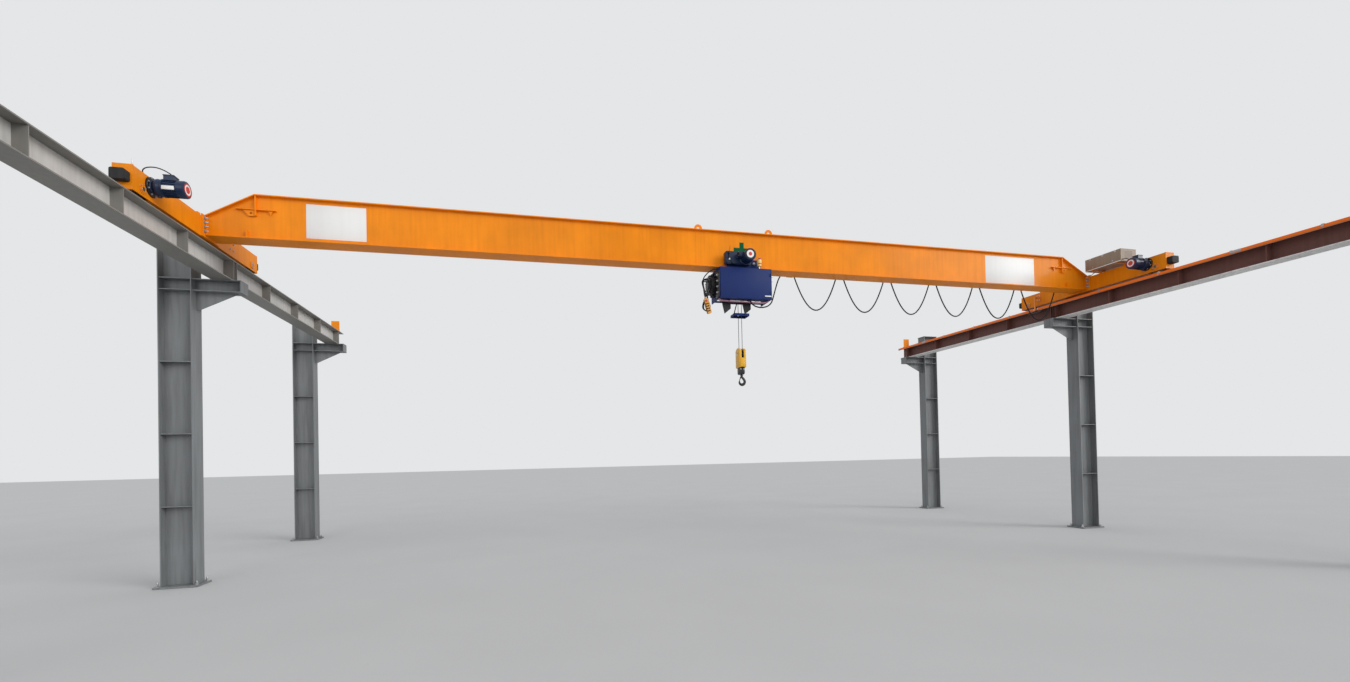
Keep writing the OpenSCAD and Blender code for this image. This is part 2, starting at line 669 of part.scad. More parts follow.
// Side plates of the trolley on both sides of the bottom flange, joined under it
module trolley_frame() {
    color(hoist_blue) translate([hoist_x, bridge_y, 0]) {
        for (s = [-1, 1]) mirror([0, s < 0 ? 1 : 0, 0])
            block([-trolley_l / 2, side_y, frame_top], [trolley_l / 2, side_y + side_t, side_top]);
        block([-trolley_l / 2 + 40, -side_y - weld, frame_top], [trolley_l / 2 - 40, side_y + weld, frame_top + 12]);
        for (s = [-1, 1], x = [-trolley_axle, trolley_axle]) mirror([0, s < 0 ? 1 : 0, 0])
            bar_y(girder_w / 2 - 6, side_y + side_t + 10, x, trolley_axle_z, pin_d);
        // Tow arm to the first cable clamp
        block([trolley_l / 2 - 60, side_y + side_t - weld, saddle_z - 4], [tow_reach + 58, side_y + side_t + 8, saddle_z + 36]);
        block([tow_reach - 58, side_y + side_t, saddle_z - 6], [tow_reach + 58, track_y + 22, saddle_z + 2]);
        translate([-hoist_x, 0, 0]) saddle(tow_x);
    }
}

module trolley_wheels() {
    color(steel) translate([hoist_x, bridge_y, trolley_axle_z])
        for (s = [-1, 1], x = [-trolley_axle, trolley_axle]) mirror([0, s < 0 ? 1 : 0, 0])
            translate([x, 0, 0]) rotate([-90, 0, 0]) difference() {
                union() {
                    translate([0, 0, box_w / 2 + 12]) cylinder(h = girder_w / 2 - box_w / 2 - 10, d = trolley_wheel_d);
                    translate([0, 0, girder_w / 2 + 2]) cylinder(h = side_gap - 4, d = trolley_wheel_d + 14);
                }
                translate([0, 0, girder_w / 2 - 6 - seat]) cylinder(h = 100, d = pin_d + 2 * run_gap);
            }
}

// Geared trolley motor in front of the web, above the side plate
module trolley_drive() {
    y0 = -side_y - side_t;
    x = trolley_motor_x;
    z = trolley_motor_z;
    color(navy) translate([hoist_x, bridge_y, 0]) {
        difference() {
            union() {
                translate([-330, y0, flange_top + 10]) rotate([90, 0, 0]) linear_extrude(78) round_rect(440, 205, 34);
                translate([-318, y0 - 77, flange_top + 22]) rotate([90, 0, 0]) linear_extrude(13) round_rect(416, 181, 26);
                // Bearing cap over the output shaft
                bar_y(y0 - 102, y0 - 89, -trolley_axle, trolley_axle_z, 96);
            }
            bar_y(y0 - 12, y0 + 1, -trolley_axle, trolley_axle_z, pin_d + 12);
        }
        translate([x, y0 - 89, z]) rotate([90, 0, 0]) motor(trolley_motor_l, motor_d);
        // Terminal box beside the motor
        block([x - motor_d / 2 - 52, y0 - 215, z - 6], [x - motor_d / 2 + 12, y0 - 125, z + 74]);
    }
}

// End plates and tie bars that carry the drum
module drum_frame() {
    color(hoist_blue) translate([hoist_x, bridge_y, 0]) {
        for (s = [-1, 1]) mirror([s < 0 ? 1 : 0, 0, 0]) difference() {
            block([drum_frame_l / 2 - 14, -frame_y, frame_bottom], [drum_frame_l / 2, frame_y, frame_top]);
            bar_x(drum_frame_l / 2 - 15, drum_frame_l / 2 + 1, 0, drum_z, shaft_d + 2 * run_gap);
        }
        for (y = [-frame_y + 20, frame_y - 20], z = [frame_top - 30, frame_bottom + 40])
            bar_x(-drum_frame_l / 2, drum_frame_l / 2, y, z, 30);
        block([-drum_frame_l / 2, -frame_y, frame_top - 12], [drum_frame_l / 2, frame_y, frame_top]);
        block([-drum_frame_l / 2, frame_y - 6, frame_bottom + 90], [drum_frame_l / 2, frame_y, frame_top]);
    }
}

module rope_drum() {
    color(steel) translate([hoist_x, bridge_y, 0]) {
        bar_x(-drum_frame_l / 2 + 60, drum_frame_l / 2 - 60, 0, drum_z, drum_d);
        for (x = [-drum_frame_l / 2 + 48, drum_frame_l / 2 - 60]) bar_x(x, x + 12, 0, drum_z, drum_d + 30);
        bar_x(-drum_frame_l / 2 + seat, drum_frame_l / 2 - seat, 0, drum_z, shaft_d);
    }
}

module hoist_gearbox() {
    x0 = -drum_frame_l / 2;
    color(black) translate([hoist_x, bridge_y, 0]) {
        bar_x(x0 - 20, x0, 0, drum_z, 380);
        bar_x(x0 - 90, x0 - 19, 0, drum_z, 320);
        bar_x(gear_end, x0 - 89, 0, drum_z, 240);
        // Peg that the pendant cable's hank hangs on
        bar_x(hank_x, gear_end + weld, -70, peg_z, 16);
        bar_y(hank_y - 45, -62, hank_x, peg_z, peg_d);
    }
}

// Control box that fronts the drum frame
module hoist_box() {
    color(hoist_blue) translate([hoist_x, bridge_y, 0]) {
        block([-drum_frame_l / 2 + 4, -frame_y - box_d, frame_bottom], [drum_frame_l / 2 - 4, -frame_y, frame_top]);
        // Glands of the tow lead, underneath, and of the pendant cable, at the end
        bar_z(90, -frame_y - 100, frame_bottom - gland_l, frame_bottom + weld, gland_d);
        bar_x(-drum_frame_l / 2 + 4 - gland_l, -drum_frame_l / 2 + 5, -frame_y - 80, frame_top - 24, 28);
    }
}

// Rope guide plates on the lower tie bars, and the limit plate on its rods
module rope_guide() {
    color(black) translate([hoist_x, bridge_y, 0]) {
        for (x = [-232, 120]) translate([x, 0, 0]) rotate([90, 0, 90]) linear_extrude(14) difference() {
            translate([-frame_y + 2, frame_bottom - 8]) square([2 * frame_y - 4, 76]);
            for (y = [-frame_y + 20, frame_y - 20]) translate([y, frame_bottom + 40]) circle(15 + run_gap);
        }
        block([-220, -20, frame_bottom - 4], [122, 20, frame_bottom + 8]);
        // Pointed wear plates that hang beside the falls
        for (x = [-300, 45]) translate([0, -fall_y - 34, 0]) rotate([90, 0, 0]) linear_extrude(10)
            polygon([[x, frame_bottom - 4], [x + 150, frame_bottom - 4], [x + 150, frame_bottom - 110],
                     [x + 45, frame_bottom - 195]]);
        for (x = [-232, 120]) block([x, -fall_y - 60, frame_bottom - 30], [x + 14, -fall_y - 33, frame_bottom]);
    }
    color(hoist_blue) translate([hoist_x, bridge_y, 0]) difference() {
        block([-155, -105, limit_z - 60], [155, 105, limit_z + 8]);
        block([-149, -99, limit_z - 61], [149, 99, limit_z]);
        for (y = [-fall_y, fall_y]) translate([0, y, limit_z - 1]) cylinder(h = 10, d = rope_d + 24);
    }
    color(steel) translate([hoist_x, bridge_y, 0]) for (s = [-1, 1])
        translate([s * 130, 0, limit_z + 7]) rotate([0, -s * rod_lean, 0])
            cylinder(h = (frame_bottom - limit_z) / cos(rod_lean) - 6, d = 12);
}

// A cylinder along Z
module bar_z(x, y, z0, z1, d) {
    translate([x, y, z0]) cylinder(h = z1 - z0, d = d);
}

// Hank of pendant cable, hung on the peg at the gearbox's end
module pendant_hank() {
    color(black) translate([hoist_x + hank_x, bridge_y + hank_y + hank_t / 2, hank_top - hank_h])
        rotate([90, 0, 0]) linear_extrude(hank_t) difference() {
            translate([-hank_w / 2, 0]) round_rect(hank_w, hank_h, hank_w / 2 - 1);
            translate([-hank_bore / 2, (hank_w - hank_bore) / 2])
                round_rect(hank_bore, hank_h - (hank_w - hank_bore), hank_bore / 2 - 0.5);
        }
}

// Push-button station, tied against the hank, with its foot swung towards the hoist
module pendant_station() {
    color(yellow) translate([hoist_x + hank_x + 30, bridge_y + hank_y - hank_t / 2 - seat, hank_top - hank_h - 44])
        rotate([0, -15, 0]) {
            translate([-32, 0, 0]) rotate([90, 0, 0]) linear_extrude(56) round_rect(64, 230, 12);
            translate([0, -28, 229]) cylinder(h = 30, d1 = 44, d2 = 20);
        }
}

// Two cheeks and the sheave between them, over the crosshead that the hook swivels in
module hook_block() {
    color(yellow) translate([hoist_x, bridge_y, 0]) for (s = [-1, 1]) mirror([s < 0 ? 1 : 0, 0, 0])
        translate([24, 0, 0]) rotate([90, 0, 90]) linear_extrude(block_w / 2 - 24)
            intersection() {
                union() {
                    translate([0, sheave_z]) circle(110);
                    translate([-block_d / 2, block_top - block_h]) square([block_d, 210]);
                }
                translate([-block_d / 2, block_top - block_h]) square([block_d, block_h]);
            }
    color(black) translate([hoist_x, bridge_y, 0]) {
        bar_x(-block_w / 2 - 6, block_w / 2 + 6, 0, sheave_z, 44);
        // Grooved sheave
        translate([0, 0, sheave_z]) rotate([0, 90, 0]) rotate_extrude()
            polygon([[20, -22], [34, -22], [34, -14], [sheave_d / 2 - 8, -9], [sheave_d / 2 + 12, -17],
                     [sheave_d / 2 + 12, -12], [groove_r, -3], [groove_r, 3],
                     [sheave_d / 2 + 12, 12], [sheave_d / 2 + 12, 17], [sheave_d / 2 - 8, 9], [34, 14],
                     [34, 22], [20, 22]]);
        block([-25, -block_d / 2 + 10, block_top - block_h], [25, block_d / 2 - 10, block_top - block_h + 60]);
        // Straps down to the crosshead
        for (s = [-1, 1]) mirror([s < 0 ? 1 : 0, 0, 0])
            block([58, -50, cross_top - cross_h], [70, 50, block_top - block_h + weld]);
        difference() {
            block([-59, -50, cross_top - cross_h], [59, 50, cross_top]);
            translate([0, 0, cross_top - cross_h - 1]) cylinder(h = cross_h + 2, d = shank_d + 2 * run_gap);
        }
    }
}

// Centre of the forged hook's section, seen along Y from the bowl's centre: the neck's points, then
// round the bowl from 35 degrees to the point, with the section's height from the table
hook_neck = [[0, 98], [1, 84], [8, 67], [23, 51]];
hook_size = [[-206, 0.30], [-180, 0.58], [-150, 0.82], [-100, 1.08], [-60, 1.10], [35, 1.02]];
function hook_height(a) = hook_section * lookup(a, hook_size);
function hook_inner(a) = hook_bowl - hook_section / 2 + max(0, -185 - a) * 0.35;
function hook_centre(a) = (hook_inner(a) + hook_height(a) / 2) * [cos(a), sin(a)];
hook_angles = [for (a = [35 : -15 : -206]) a];

// A ring round the section at p, crosswise to d: h high in the hook's plane and w wide across it,
// broader on the bowl's side, as a forging is
function hook_ring(p, d, h, w) = let (u = [d[1], -d[0]] / norm(d))
    [for (j = [0 : 11]) let (c = cos(30 * j), q = sin(30 * j), wide = w / 2 * (1 - 0.16 * c))
        [p[0] - u[0] * c * h / 2, wide * q, p[1] - u[1] * c * h / 2]];

// Forged hook: its nut rests on the crosshead, so it turns about the load line
module hook() {
    zc = cross_top - cross_h - 64 - hook_bowl;
    centres = concat(hook_neck, [for (a = hook_angles) hook_centre(a)]);
    heights = concat([38, 37, 38, 41], [for (a = hook_angles) hook_height(a)]);
    n = len(centres);
    rings = [for (i = [0 : n - 1]) each hook_ring(centres[i], centres[min(i + 1, n - 1)] - centres[max(i - 1, 0)],
                                                  heights[i], i < 2 ? heights[i] : heights[i] * 0.78)];
    color(black) translate([hoist_x, bridge_y, 0]) {
        bar_z(0, 0, zc + 86, cross_top + 34, shank_d);
        bar_z(0, 0, cross_top + seat, cross_top + 30, 64);
        bar_z(0, 0, cross_top - cross_h - 22, cross_top - cross_h - 8, shank_d + 12);
        translate([0, 0, zc]) polyhedron(rings, concat(
            [[for (j = [11 : -1 : 0]) j]],
            [for (i = [0 : n - 2], j = [0 : 11])
                [i * 12 + j, i * 12 + (j + 1) % 12, (i + 1) * 12 + (j + 1) % 12, (i + 1) * 12 + j]],
            [[for (j = [0 : 11]) (n - 1) * 12 + j]]));
        // Safety latch from its ears on the neck to the hook's point
        translate([0, 6, zc]) rotate([90, 0, 0]) linear_extrude(12)
            polygon([[-14, 86], [-26, 80], [-42, 24], [-36, 18], [-31, 22], [-12, 66]]);
    }
}

// Two falls of wire rope from the drum to the block
module ropes() {
    color(steel) translate([hoist_x, bridge_y, 0]) for (y = [-fall_y, fall_y])
        bar_z(0, y, sheave_z + 2, rope_top, rope_d);
}

// A point of the festoon cable: k counts the loops, t runs from 0 to 1 along a loop
function loop_point(k, t) = let (x0 = tow_x + k * clamp_pitch, w = clamp_w / 2)
    [x0 + w + (clamp_pitch - clamp_w) * t, track_y, saddle_z - 4 * loop_sag * t * (1 - t)];
// The arch over the saddle at clamp k
function arch_point(k, a) = [tow_x + k * clamp_pitch - cos(a) * clamp_w / 2, track_y,
                             saddle_z + sin(a) * clamp_w / 2];
function cable_route() = concat(
    [arch_point(0, 90), arch_point(0, 90) + [15, 0, 0], arch_point(0, 135)],
    [for (k = [0 : loops - 1]) each concat(
        [for (i = [0 : 7]) loop_point(k, i / 7)],
        [for (a = k < loops - 1 ? [45, 90, 135] : [45]) arch_point(k + 1, a)])],
    [arch_point(loops, 90) - [15, 0, 0], arch_point(loops, 90)]);

// Direction of a route at its point i, and a direction across it there that turns as little as possible
function unit(v) = v / norm(v);
function along(p, i) = let (n = len(p)) unit(p[min(i + 1, n - 1)] - p[max(i - 1, 0)]);
function square_to(u, v) = unit(u - (u * v) * v);
function across(p, first) = [for (i = 0, u = square_to(first, along(p, 0)); i < len(p);
    i = i + 1, u = square_to(u, along(p, min(i, len(p) - 1)))) u];

// A tube swept along a route's points
module tube(points, d, sides, first) {
    n = len(points);
    side = across(points, first);
    rings = [for (i = [0 : n - 1]) let (u = side[i], w = cross(along(points, i), u))
        for (j = [0 : sides - 1]) points[i] + d / 2 * (cos(360 * j / sides) * u + sin(360 * j / sides) * w)];
    polyhedron(rings, concat(
        [[for (j = [sides - 1 : -1 : 0]) j]],
        [for (i = [0 : n - 2], j = [0 : sides - 1])
            [i * sides + j, i * sides + (j + 1) % sides, (i + 1) * sides + (j + 1) % sides, (i + 1) * sides + j]],
        [[for (j = [0 : sides - 1]) (n - 1) * sides + j]]));
}

module festoon_cable() {
    color(black) translate([0, bridge_y, 0]) tube(cable_route(), cable_d, 8, [0, 1, 0]);
}

// Leads that ride with the hoist: the end of the festoon cable, and the pendant cable to its hank
module hoist_leads() {
    color(black) {
        translate([tow_x, bridge_y + track_y, saddle_z]) tube(tow_lead, cable_d, 8, [0, 1, 0]);
        tube(pendant_lead, pendant_d, 8, [0, 1, 0]);
    }
}

// Leads that ride with the bridge: the festoon cable's fixed end, the motors' and the collector's
module bridge_leads() {
    color(black) {
        tube(end_lead, cable_d, 8, [0, 1, 0]);
        for (lead = [motor_lead_l, supply_lead_l, motor_lead_r, collector_lead]) tube(lead, lead_d, 8, [1, 0, 0]);
    }
}

column(-1, -bay);  // column_l1
column(-1, 0);  // column_l2
column(-1, bay);  // column_l3
column(1, -bay);  // column_r1
column(1, 0);  // column_r2
column(1, bay);  // column_r3
corbels();
runway_beam(-1, grey_steel);  // runway_beam_l
runway_beam(1, brown_steel);  // runway_beam_r
rails();
runway_stops();
conductor_bar();
girder_box();
girder_fittings();
end_truck(-1);  // end_truck_l
end_truck(1);  // end_truck_r
wheel(-1, wheel_ys[0]);  // wheel_l1
wheel(-1, wheel_ys[1]);  // wheel_l2
wheel(1, wheel_ys[0]);  // wheel_r1
wheel(1, wheel_ys[1]);  // wheel_r2
buffers();
travel_drive(-1);  // travel_drive_l
travel_drive(1);  // travel_drive_r
control_cabinet();
collector();
festoon_track();
trolley_frame();
trolley_wheels();
trolley_drive();
drum_frame();
rope_drum();
hoist_gearbox();
hoist_box();
rope_guide();
pendant_hank();
pendant_station();
hook_block();
hook();
ropes();
festoon_cable();
hoist_leads();
bridge_leads();
carrier(1);  // carrier_1
carrier(2);  // carrier_2
carrier(3);  // carrier_3
carrier(4);  // carrier_4
carrier(5);  // carrier_5
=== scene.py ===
# %% [markdown]
# # Dressing an overhead travelling crane
# The welded and machined parts come ready-made as a fixed frame, in metres. This lesson gives them
# their paint, adds what a fitter would bolt, wire and clip on, and lights the whole crane softly.
# Everything is placed from the frame's own boxes, so that a changed part takes its fittings along.

# %% Load the crane's frame
import math
import json
import bpy
import bmesh
from mathutils import Matrix, Vector


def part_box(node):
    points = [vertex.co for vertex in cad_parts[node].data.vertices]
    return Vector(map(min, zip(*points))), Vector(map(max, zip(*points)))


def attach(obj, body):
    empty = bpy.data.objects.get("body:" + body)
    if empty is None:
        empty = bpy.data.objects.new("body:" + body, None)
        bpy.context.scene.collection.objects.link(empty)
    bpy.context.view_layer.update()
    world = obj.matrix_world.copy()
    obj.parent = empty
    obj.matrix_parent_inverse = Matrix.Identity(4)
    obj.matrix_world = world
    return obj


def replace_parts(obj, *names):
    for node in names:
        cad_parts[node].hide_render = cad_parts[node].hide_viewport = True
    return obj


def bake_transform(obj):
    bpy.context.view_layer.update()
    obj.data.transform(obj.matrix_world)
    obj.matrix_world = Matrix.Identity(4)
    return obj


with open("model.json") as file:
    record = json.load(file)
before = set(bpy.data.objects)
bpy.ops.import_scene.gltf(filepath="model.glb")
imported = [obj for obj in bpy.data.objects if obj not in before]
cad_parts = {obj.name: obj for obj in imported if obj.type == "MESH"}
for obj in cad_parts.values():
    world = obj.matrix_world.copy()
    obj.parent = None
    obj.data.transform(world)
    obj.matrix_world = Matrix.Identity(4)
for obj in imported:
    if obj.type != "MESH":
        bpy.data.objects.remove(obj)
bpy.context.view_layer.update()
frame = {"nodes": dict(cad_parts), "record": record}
nodes = frame["nodes"]

# %% [markdown]
# The photograph was taken from eye height on the hall floor, looking up at the bridge with a wide
# lens. A camera that leans back would tilt the columns, so a photographer keeps it nearly level and
# shifts the picture instead. The same is done here: almost no pitch, and a small vertical shift.

# %% Camera at the photographer's place
PHOTO_W = 1350
FOCAL_PX = 579.9
HORIZON_DROP_PX = 106.2
EYE = Vector((-3.204, -9.525, 1.675))
YAW = 0.2481
PITCH = 0.0126
ROLL = -0.0216


def aim_camera(eye, yaw, pitch, roll):
    ahead = Vector((math.sin(yaw), math.cos(yaw), 0)) * math.cos(pitch) + Vector((0, 0, math.sin(pitch)))
    side = ahead.cross(Vector((0, 0, 1))).normalized()
    up = side.cross(ahead)
    right = side * math.cos(roll) + up * math.sin(roll)
    top = up * math.cos(roll) - side * math.sin(roll)
    turn = Matrix((right, top, -ahead)).transposed().to_4x4()
    return Matrix.Translation(eye) @ turn


lens = bpy.data.cameras.new("photo_lens")
lens.sensor_width = 36
lens.lens = 36 * FOCAL_PX / PHOTO_W
lens.shift_y = HORIZON_DROP_PX / PHOTO_W
lens.clip_end = 200
camera = bpy.data.objects.new("photo_camera", lens)
camera.matrix_world = aim_camera(EYE, YAW, PITCH, ROLL)
bpy.context.scene.collection.objects.link(camera)
bpy.context.scene.camera = camera
print("lens", round(lens.lens, 2), "mm at", tuple(round(c, 2) for c in EYE))

# %% [markdown]
# Most later pieces sit at the edge of a part, so the sizes that several of them share are read once
# from the boxes of the parts: where the girder runs, how high its flange lies, where each truck is.

# %% Places read from the frame


def low(node):
    return Vector(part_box(node)[0])


def high(node):
    return Vector(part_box(node)[1])


def middle(node):
    return (low(node) + high(node)) / 2


GIRDER_Y = middle("girder_box").y
GIRDER_BOTTOM = middle("girder_box").z - 0.2825
GIRDER_TOP = high("girder_box").z
TRUCK_FACE = high("girder_box").x
TRUCK_BOTTOM = low("end_truck_l").z + 0.002
TRUCK_TOP = TRUCK_BOTTOM + 0.266
RAIL_X = middle("wheel_r1").x
PLATE = 0.014
BOX_HALF = 0.100
LIP_HALF = 0.1525
HOIST_X = middle("hoist_box").x
DRUM_Z = middle("rope_drum").z
FRAME_TOP = high("hoist_box").z
FRAME_BOTTOM = low("hoist_box").z
print("girder underside", round(GIRDER_BOTTOM, 3), "top", round(GIRDER_TOP, 3), "hoist at", round(HOIST_X, 3))

# %% [markdown]
# A painted surface is never one flat colour. Spray paint pools and thins, dust settles, and rain or
# oil leaves streaks that run downwards. Each paint here mixes two tones of the same colour with a
# large soft noise, adds streaks stretched along Z, and roughens where the dirt is. Fine noise in the
# bump gives the orange-peel skin of thick enamel. Every constant goes straight on the shader.

# %% Paint and metal finishes


def node(tree, kind, **settings):
    made = tree.nodes.new("ShaderNode" + kind)
    for name, value in settings.items():
        setattr(made, name, value)
    return made


def mixed(tree, mask, first, second, colour=False):
    """The first value outside the mask and the second one inside it."""
    blend = node(tree, "Mix", data_type="RGBA" if colour else "FLOAT")
    sockets = [s for s in blend.inputs if s.enabled]
    tree.links.new(mask, sockets[0])
    for socket, value in zip(sockets[1:], (first, second)):
        if isinstance(value, bpy.types.NodeSocket):
            tree.links.new(value, socket)
        else:
            socket.default_value = value
    return [s for s in blend.outputs if s.enabled][0]


def inside_box(tree, place, low_corner, high_corner):
    """A mask that is one inside the box between two corners."""
    centre = (Vector(low_corner) + Vector(high_corner)) / 2
    half = (Vector(high_corner) - Vector(low_corner)) / 2
    shift = node(tree, "VectorMath", operation="SUBTRACT")
    shift.inputs[1].default_value = centre
    tree.links.new(place, shift.inputs[0])
    size = node(tree, "VectorMath", operation="ABSOLUTE")
    tree.links.new(shift.outputs["Vector"], size.inputs[0])
    axes = node(tree, "SeparateXYZ")
    tree.links.new(size.outputs["Vector"], axes.inputs[0])
    mask = None
    for axis, limit in zip("XYZ", half):
        test = node(tree, "Math", operation="LESS_THAN")
        test.inputs[1].default_value = limit
        tree.links.new(axes.outputs[axis], test.inputs[0])
        if mask is None:
            mask = test.outputs[0]
            continue
        both = node(tree, "Math", operation="MULTIPLY")
        tree.links.new(mask, both.inputs[0])
        tree.links.new(test.outputs[0], both.inputs[1])
        mask = both.outputs[0]
    return mask


def two_tones(tree, fac, colour, spread=0.12):
    """A darker and a lighter tone of one colour, laid out by a soft noise."""
    ramp = node(tree, "ValToRGB")
    ramp.color_ramp.elements[0].position = 0.3
    ramp.color_ramp.elements[0].color = (*[c * (1 - spread) for c in colour], 1)
    ramp.color_ramp.elements[1].position = 0.7
    ramp.color_ramp.elements[1].color = (*[min(1, c * (1 + 0.6 * spread)) for c in colour], 1)
    tree.links.new(fac, ramp.inputs["Fac"])
    return ramp.outputs["Color"]


def finish(name, colour, dark, rough, metal=0.0, coat=0.0, streak=0.25, scale=2.0, peel=0.04, peel_scale=260,
           grain=(14, 14, 0.9), zones=(), spread=0.12, shine=0.5):
    """Paint or metal with two tones, streaks, uneven gloss and a fine skin; zones hold a second one."""
    mat = bpy.data.materials.new(name)
    mat.use_nodes = True
    tree = mat.node_tree
    shader = tree.nodes["Principled BSDF"]
    shader.inputs["Metallic"].default_value = metal
    shader.inputs["Specular IOR Level"].default_value = shine
    shader.inputs["Coat Weight"].default_value = coat
    shader.inputs["Coat Roughness"].default_value = 0.12
    place = node(tree, "TexCoord").outputs["Object"]
    cloud = node(tree, "TexNoise")
    cloud.inputs["Scale"].default_value = scale
    cloud.inputs["Detail"].default_value = 6
    tree.links.new(place, cloud.inputs["Vector"])
    stretch = node(tree, "Mapping")
    stretch.inputs["Scale"].default_value = grain
    tree.links.new(place, stretch.inputs["Vector"])
    run = node(tree, "TexNoise")
    run.inputs["Scale"].default_value = 1.5
    run.inputs["Detail"].default_value = 5
    tree.links.new(stretch.outputs["Vector"], run.inputs["Vector"])
    soft = node(tree, "MapRange")
    soft.inputs["From Min"].default_value = 0.42
    soft.inputs["From Max"].default_value = 0.72
    soft.inputs["To Max"].default_value = streak
    tree.links.new(run.outputs["Fac"], soft.inputs["Value"])
    level = node(tree, "MapRange")
    level.inputs["To Min"].default_value = rough * 0.8
    level.inputs["To Max"].default_value = min(1, rough * 1.35)
    tree.links.new(cloud.outputs["Fac"], level.inputs["Value"])
    paint = two_tones(tree, cloud.outputs["Fac"], colour, spread)
    gloss = level.outputs["Result"]
    share = metal
    for low_corner, high_corner, zone_colour, zone_rough, zone_metal in zones:
        mask = inside_box(tree, place, low_corner, high_corner)
        paint = mixed(tree, mask, paint, two_tones(tree, cloud.outputs["Fac"], zone_colour), colour=True)
        gloss = mixed(tree, mask, gloss, zone_rough)
        if share != zone_metal:
            share = mixed(tree, mask, share, zone_metal)
    if share is not metal:
        tree.links.new(share, shader.inputs["Metallic"])
    paint = mixed(tree, soft.outputs["Result"], paint, (*dark, 1), colour=True)
    tree.links.new(paint, shader.inputs["Base Color"])
    tree.links.new(gloss, shader.inputs["Roughness"])
    pores = node(tree, "TexNoise")
    pores.inputs["Scale"].default_value = peel_scale
    tree.links.new(place, pores.inputs["Vector"])
    bump = node(tree, "Bump")
    bump.inputs["Strength"].default_value = peel
    bump.inputs["Distance"].default_value = 0.002
    tree.links.new(pores.outputs["Fac"], bump.inputs["Height"])
    tree.links.new(bump.outputs["Normal"], shader.inputs["Normal"])
    return mat


BLACK = (0.012, 0.012, 0.014)
ORANGE = (0.86, 0.255, 0.004)
STEEL = (0.42, 0.42, 0.43)
BLUE = (0.005, 0.022, 0.128)
crane_orange = finish("crane_orange", ORANGE, (0.42, 0.10, 0.006), 0.42, coat=0.08, streak=0.18, shine=0.1)
column_grey = finish("column_grey", (0.19, 0.20, 0.205), (0.09, 0.09, 0.085), 0.5, streak=0.5, scale=1.2)
rail_steel = finish("rail_steel", (0.34, 0.33, 0.32), (0.16, 0.09, 0.05), 0.38, metal=0.85, streak=0.5,
                    grain=(40, 1.2, 40))
wheel_steel = finish("wheel_steel", (0.30, 0.29, 0.28), (0.10, 0.08, 0.06), 0.35, metal=0.9, streak=0.4)
rubber = finish("rubber", BLACK, (0.05, 0.045, 0.04), 0.75, streak=0.3, peel=0.2, peel_scale=420)
zinc = finish("zinc", (0.55, 0.56, 0.57), (0.30, 0.30, 0.30), 0.36, metal=0.9, streak=0.3)
hoist_blue = finish("hoist_blue", BLUE, (0.006, 0.014, 0.05), 0.52, streak=0.2, shine=0.22)
drum_steel = finish("drum_steel", (0.22, 0.21, 0.20), (0.05, 0.04, 0.03), 0.4, metal=0.8, streak=0.5,
                    grain=(3, 30, 30))
black_paint = finish("black_paint", BLACK, (0.03, 0.026, 0.024), 0.42, coat=0.1, shine=0.3)
cable_black = finish("cable_black", BLACK, (0.03, 0.028, 0.026), 0.55, peel=0.05, shine=0.3)
hook_black = finish("hook_black", (0.016, 0.016, 0.018), (0.10, 0.06, 0.03), 0.42, metal=0.3, streak=0.35)
rope_steel = finish("rope_steel", (0.032, 0.032, 0.033), (0.015, 0.013, 0.01), 0.55, metal=0.4, streak=0.3,
                    peel=0.1, shine=0.3)
print("plain finishes:", len(bpy.data.materials))

# %% [markdown]
# Some parts are sprayed in one colour and masked for another, such as a motor with a black flange.
# One finish can hold both. A box in the object's own coordinates says where the second paint starts,
# which is how a painter's masking tape works. The runway beams take such boxes too: the left beam's
# web is paler than its flanges, and the right beam's lower flange is near white.

# %% Finishes in two colours
FAR = 50
BAR_X = low("conductor_bar").x + 0.022


def zone(colour, rough, metal=0.0, x=(-FAR, FAR), y=(-FAR, FAR), z=(-FAR, FAR)):
    """The second paint and its box, which is open along each axis that isn't given."""
    return (x[0], y[0], z[0]), (x[1], y[1], z[1]), colour, rough, metal


def motor_paint():
    flange_l = zone(BLACK, 0.42, x=(-FAR, -TRUCK_FACE + 0.023))
    flange_r = zone(BLACK, 0.42, x=(TRUCK_FACE - 0.023, FAR))
    return finish("motor_navy", (0.006, 0.020, 0.060), (0.012, 0.012, 0.014), 0.34, coat=0.2, streak=0.2,
                  peel=0.1, peel_scale=200, zones=(flange_l, flange_r), shine=0.3)


def cabinet_paint():
    bracket = zone(ORANGE, 0.3, z=(-FAR, high("control_cabinet").z - 0.2205))
    return finish("cabinet_beige", (0.30, 0.225, 0.16), (0.16, 0.13, 0.10), 0.42, zones=(bracket,), shine=0.3)


def collector_paint():
    shoes = zone(BLACK, 0.6, z=(-FAR, low("conductor_bar").z))
    return finish("collector_orange", ORANGE, (0.42, 0.11, 0.01), 0.35, coat=0.3, streak=0.2, zones=(shoes,))


def bar_cover():
    arms = zone(STEEL, 0.4, 0.9, x=(BAR_X + 0.019, FAR))
    clips = zone(STEEL, 0.4, 0.9, x=(-FAR, BAR_X - 0.0185))
    edge = zone((0.5, 0.3, 0.2), 0.3, 0.9, x=(BAR_X - 0.0075, BAR_X + 0.0075),
                z=(-FAR, low("conductor_bar").z + 0.0075))
    return finish("bar_orange", (1.0, 0.18, 0.008), (0.5, 0.12, 0.03), 0.45, streak=0.15, peel=0.02,
                  zones=(arms, clips, edge), shine=0.2)


def left_beam_paint():
    web = zone((0.60, 0.58, 0.55), 0.5, x=(-RAIL_X - 0.0055, -RAIL_X + 0.0055),
               z=(low("runway_beam_l").z + 0.0145, high("runway_beam_l").z - 0.0145))
    return finish("beam_grey", (0.23, 0.22, 0.20), (0.11, 0.105, 0.10), 0.45, streak=0.2, scale=1.4,
                  zones=(web,))


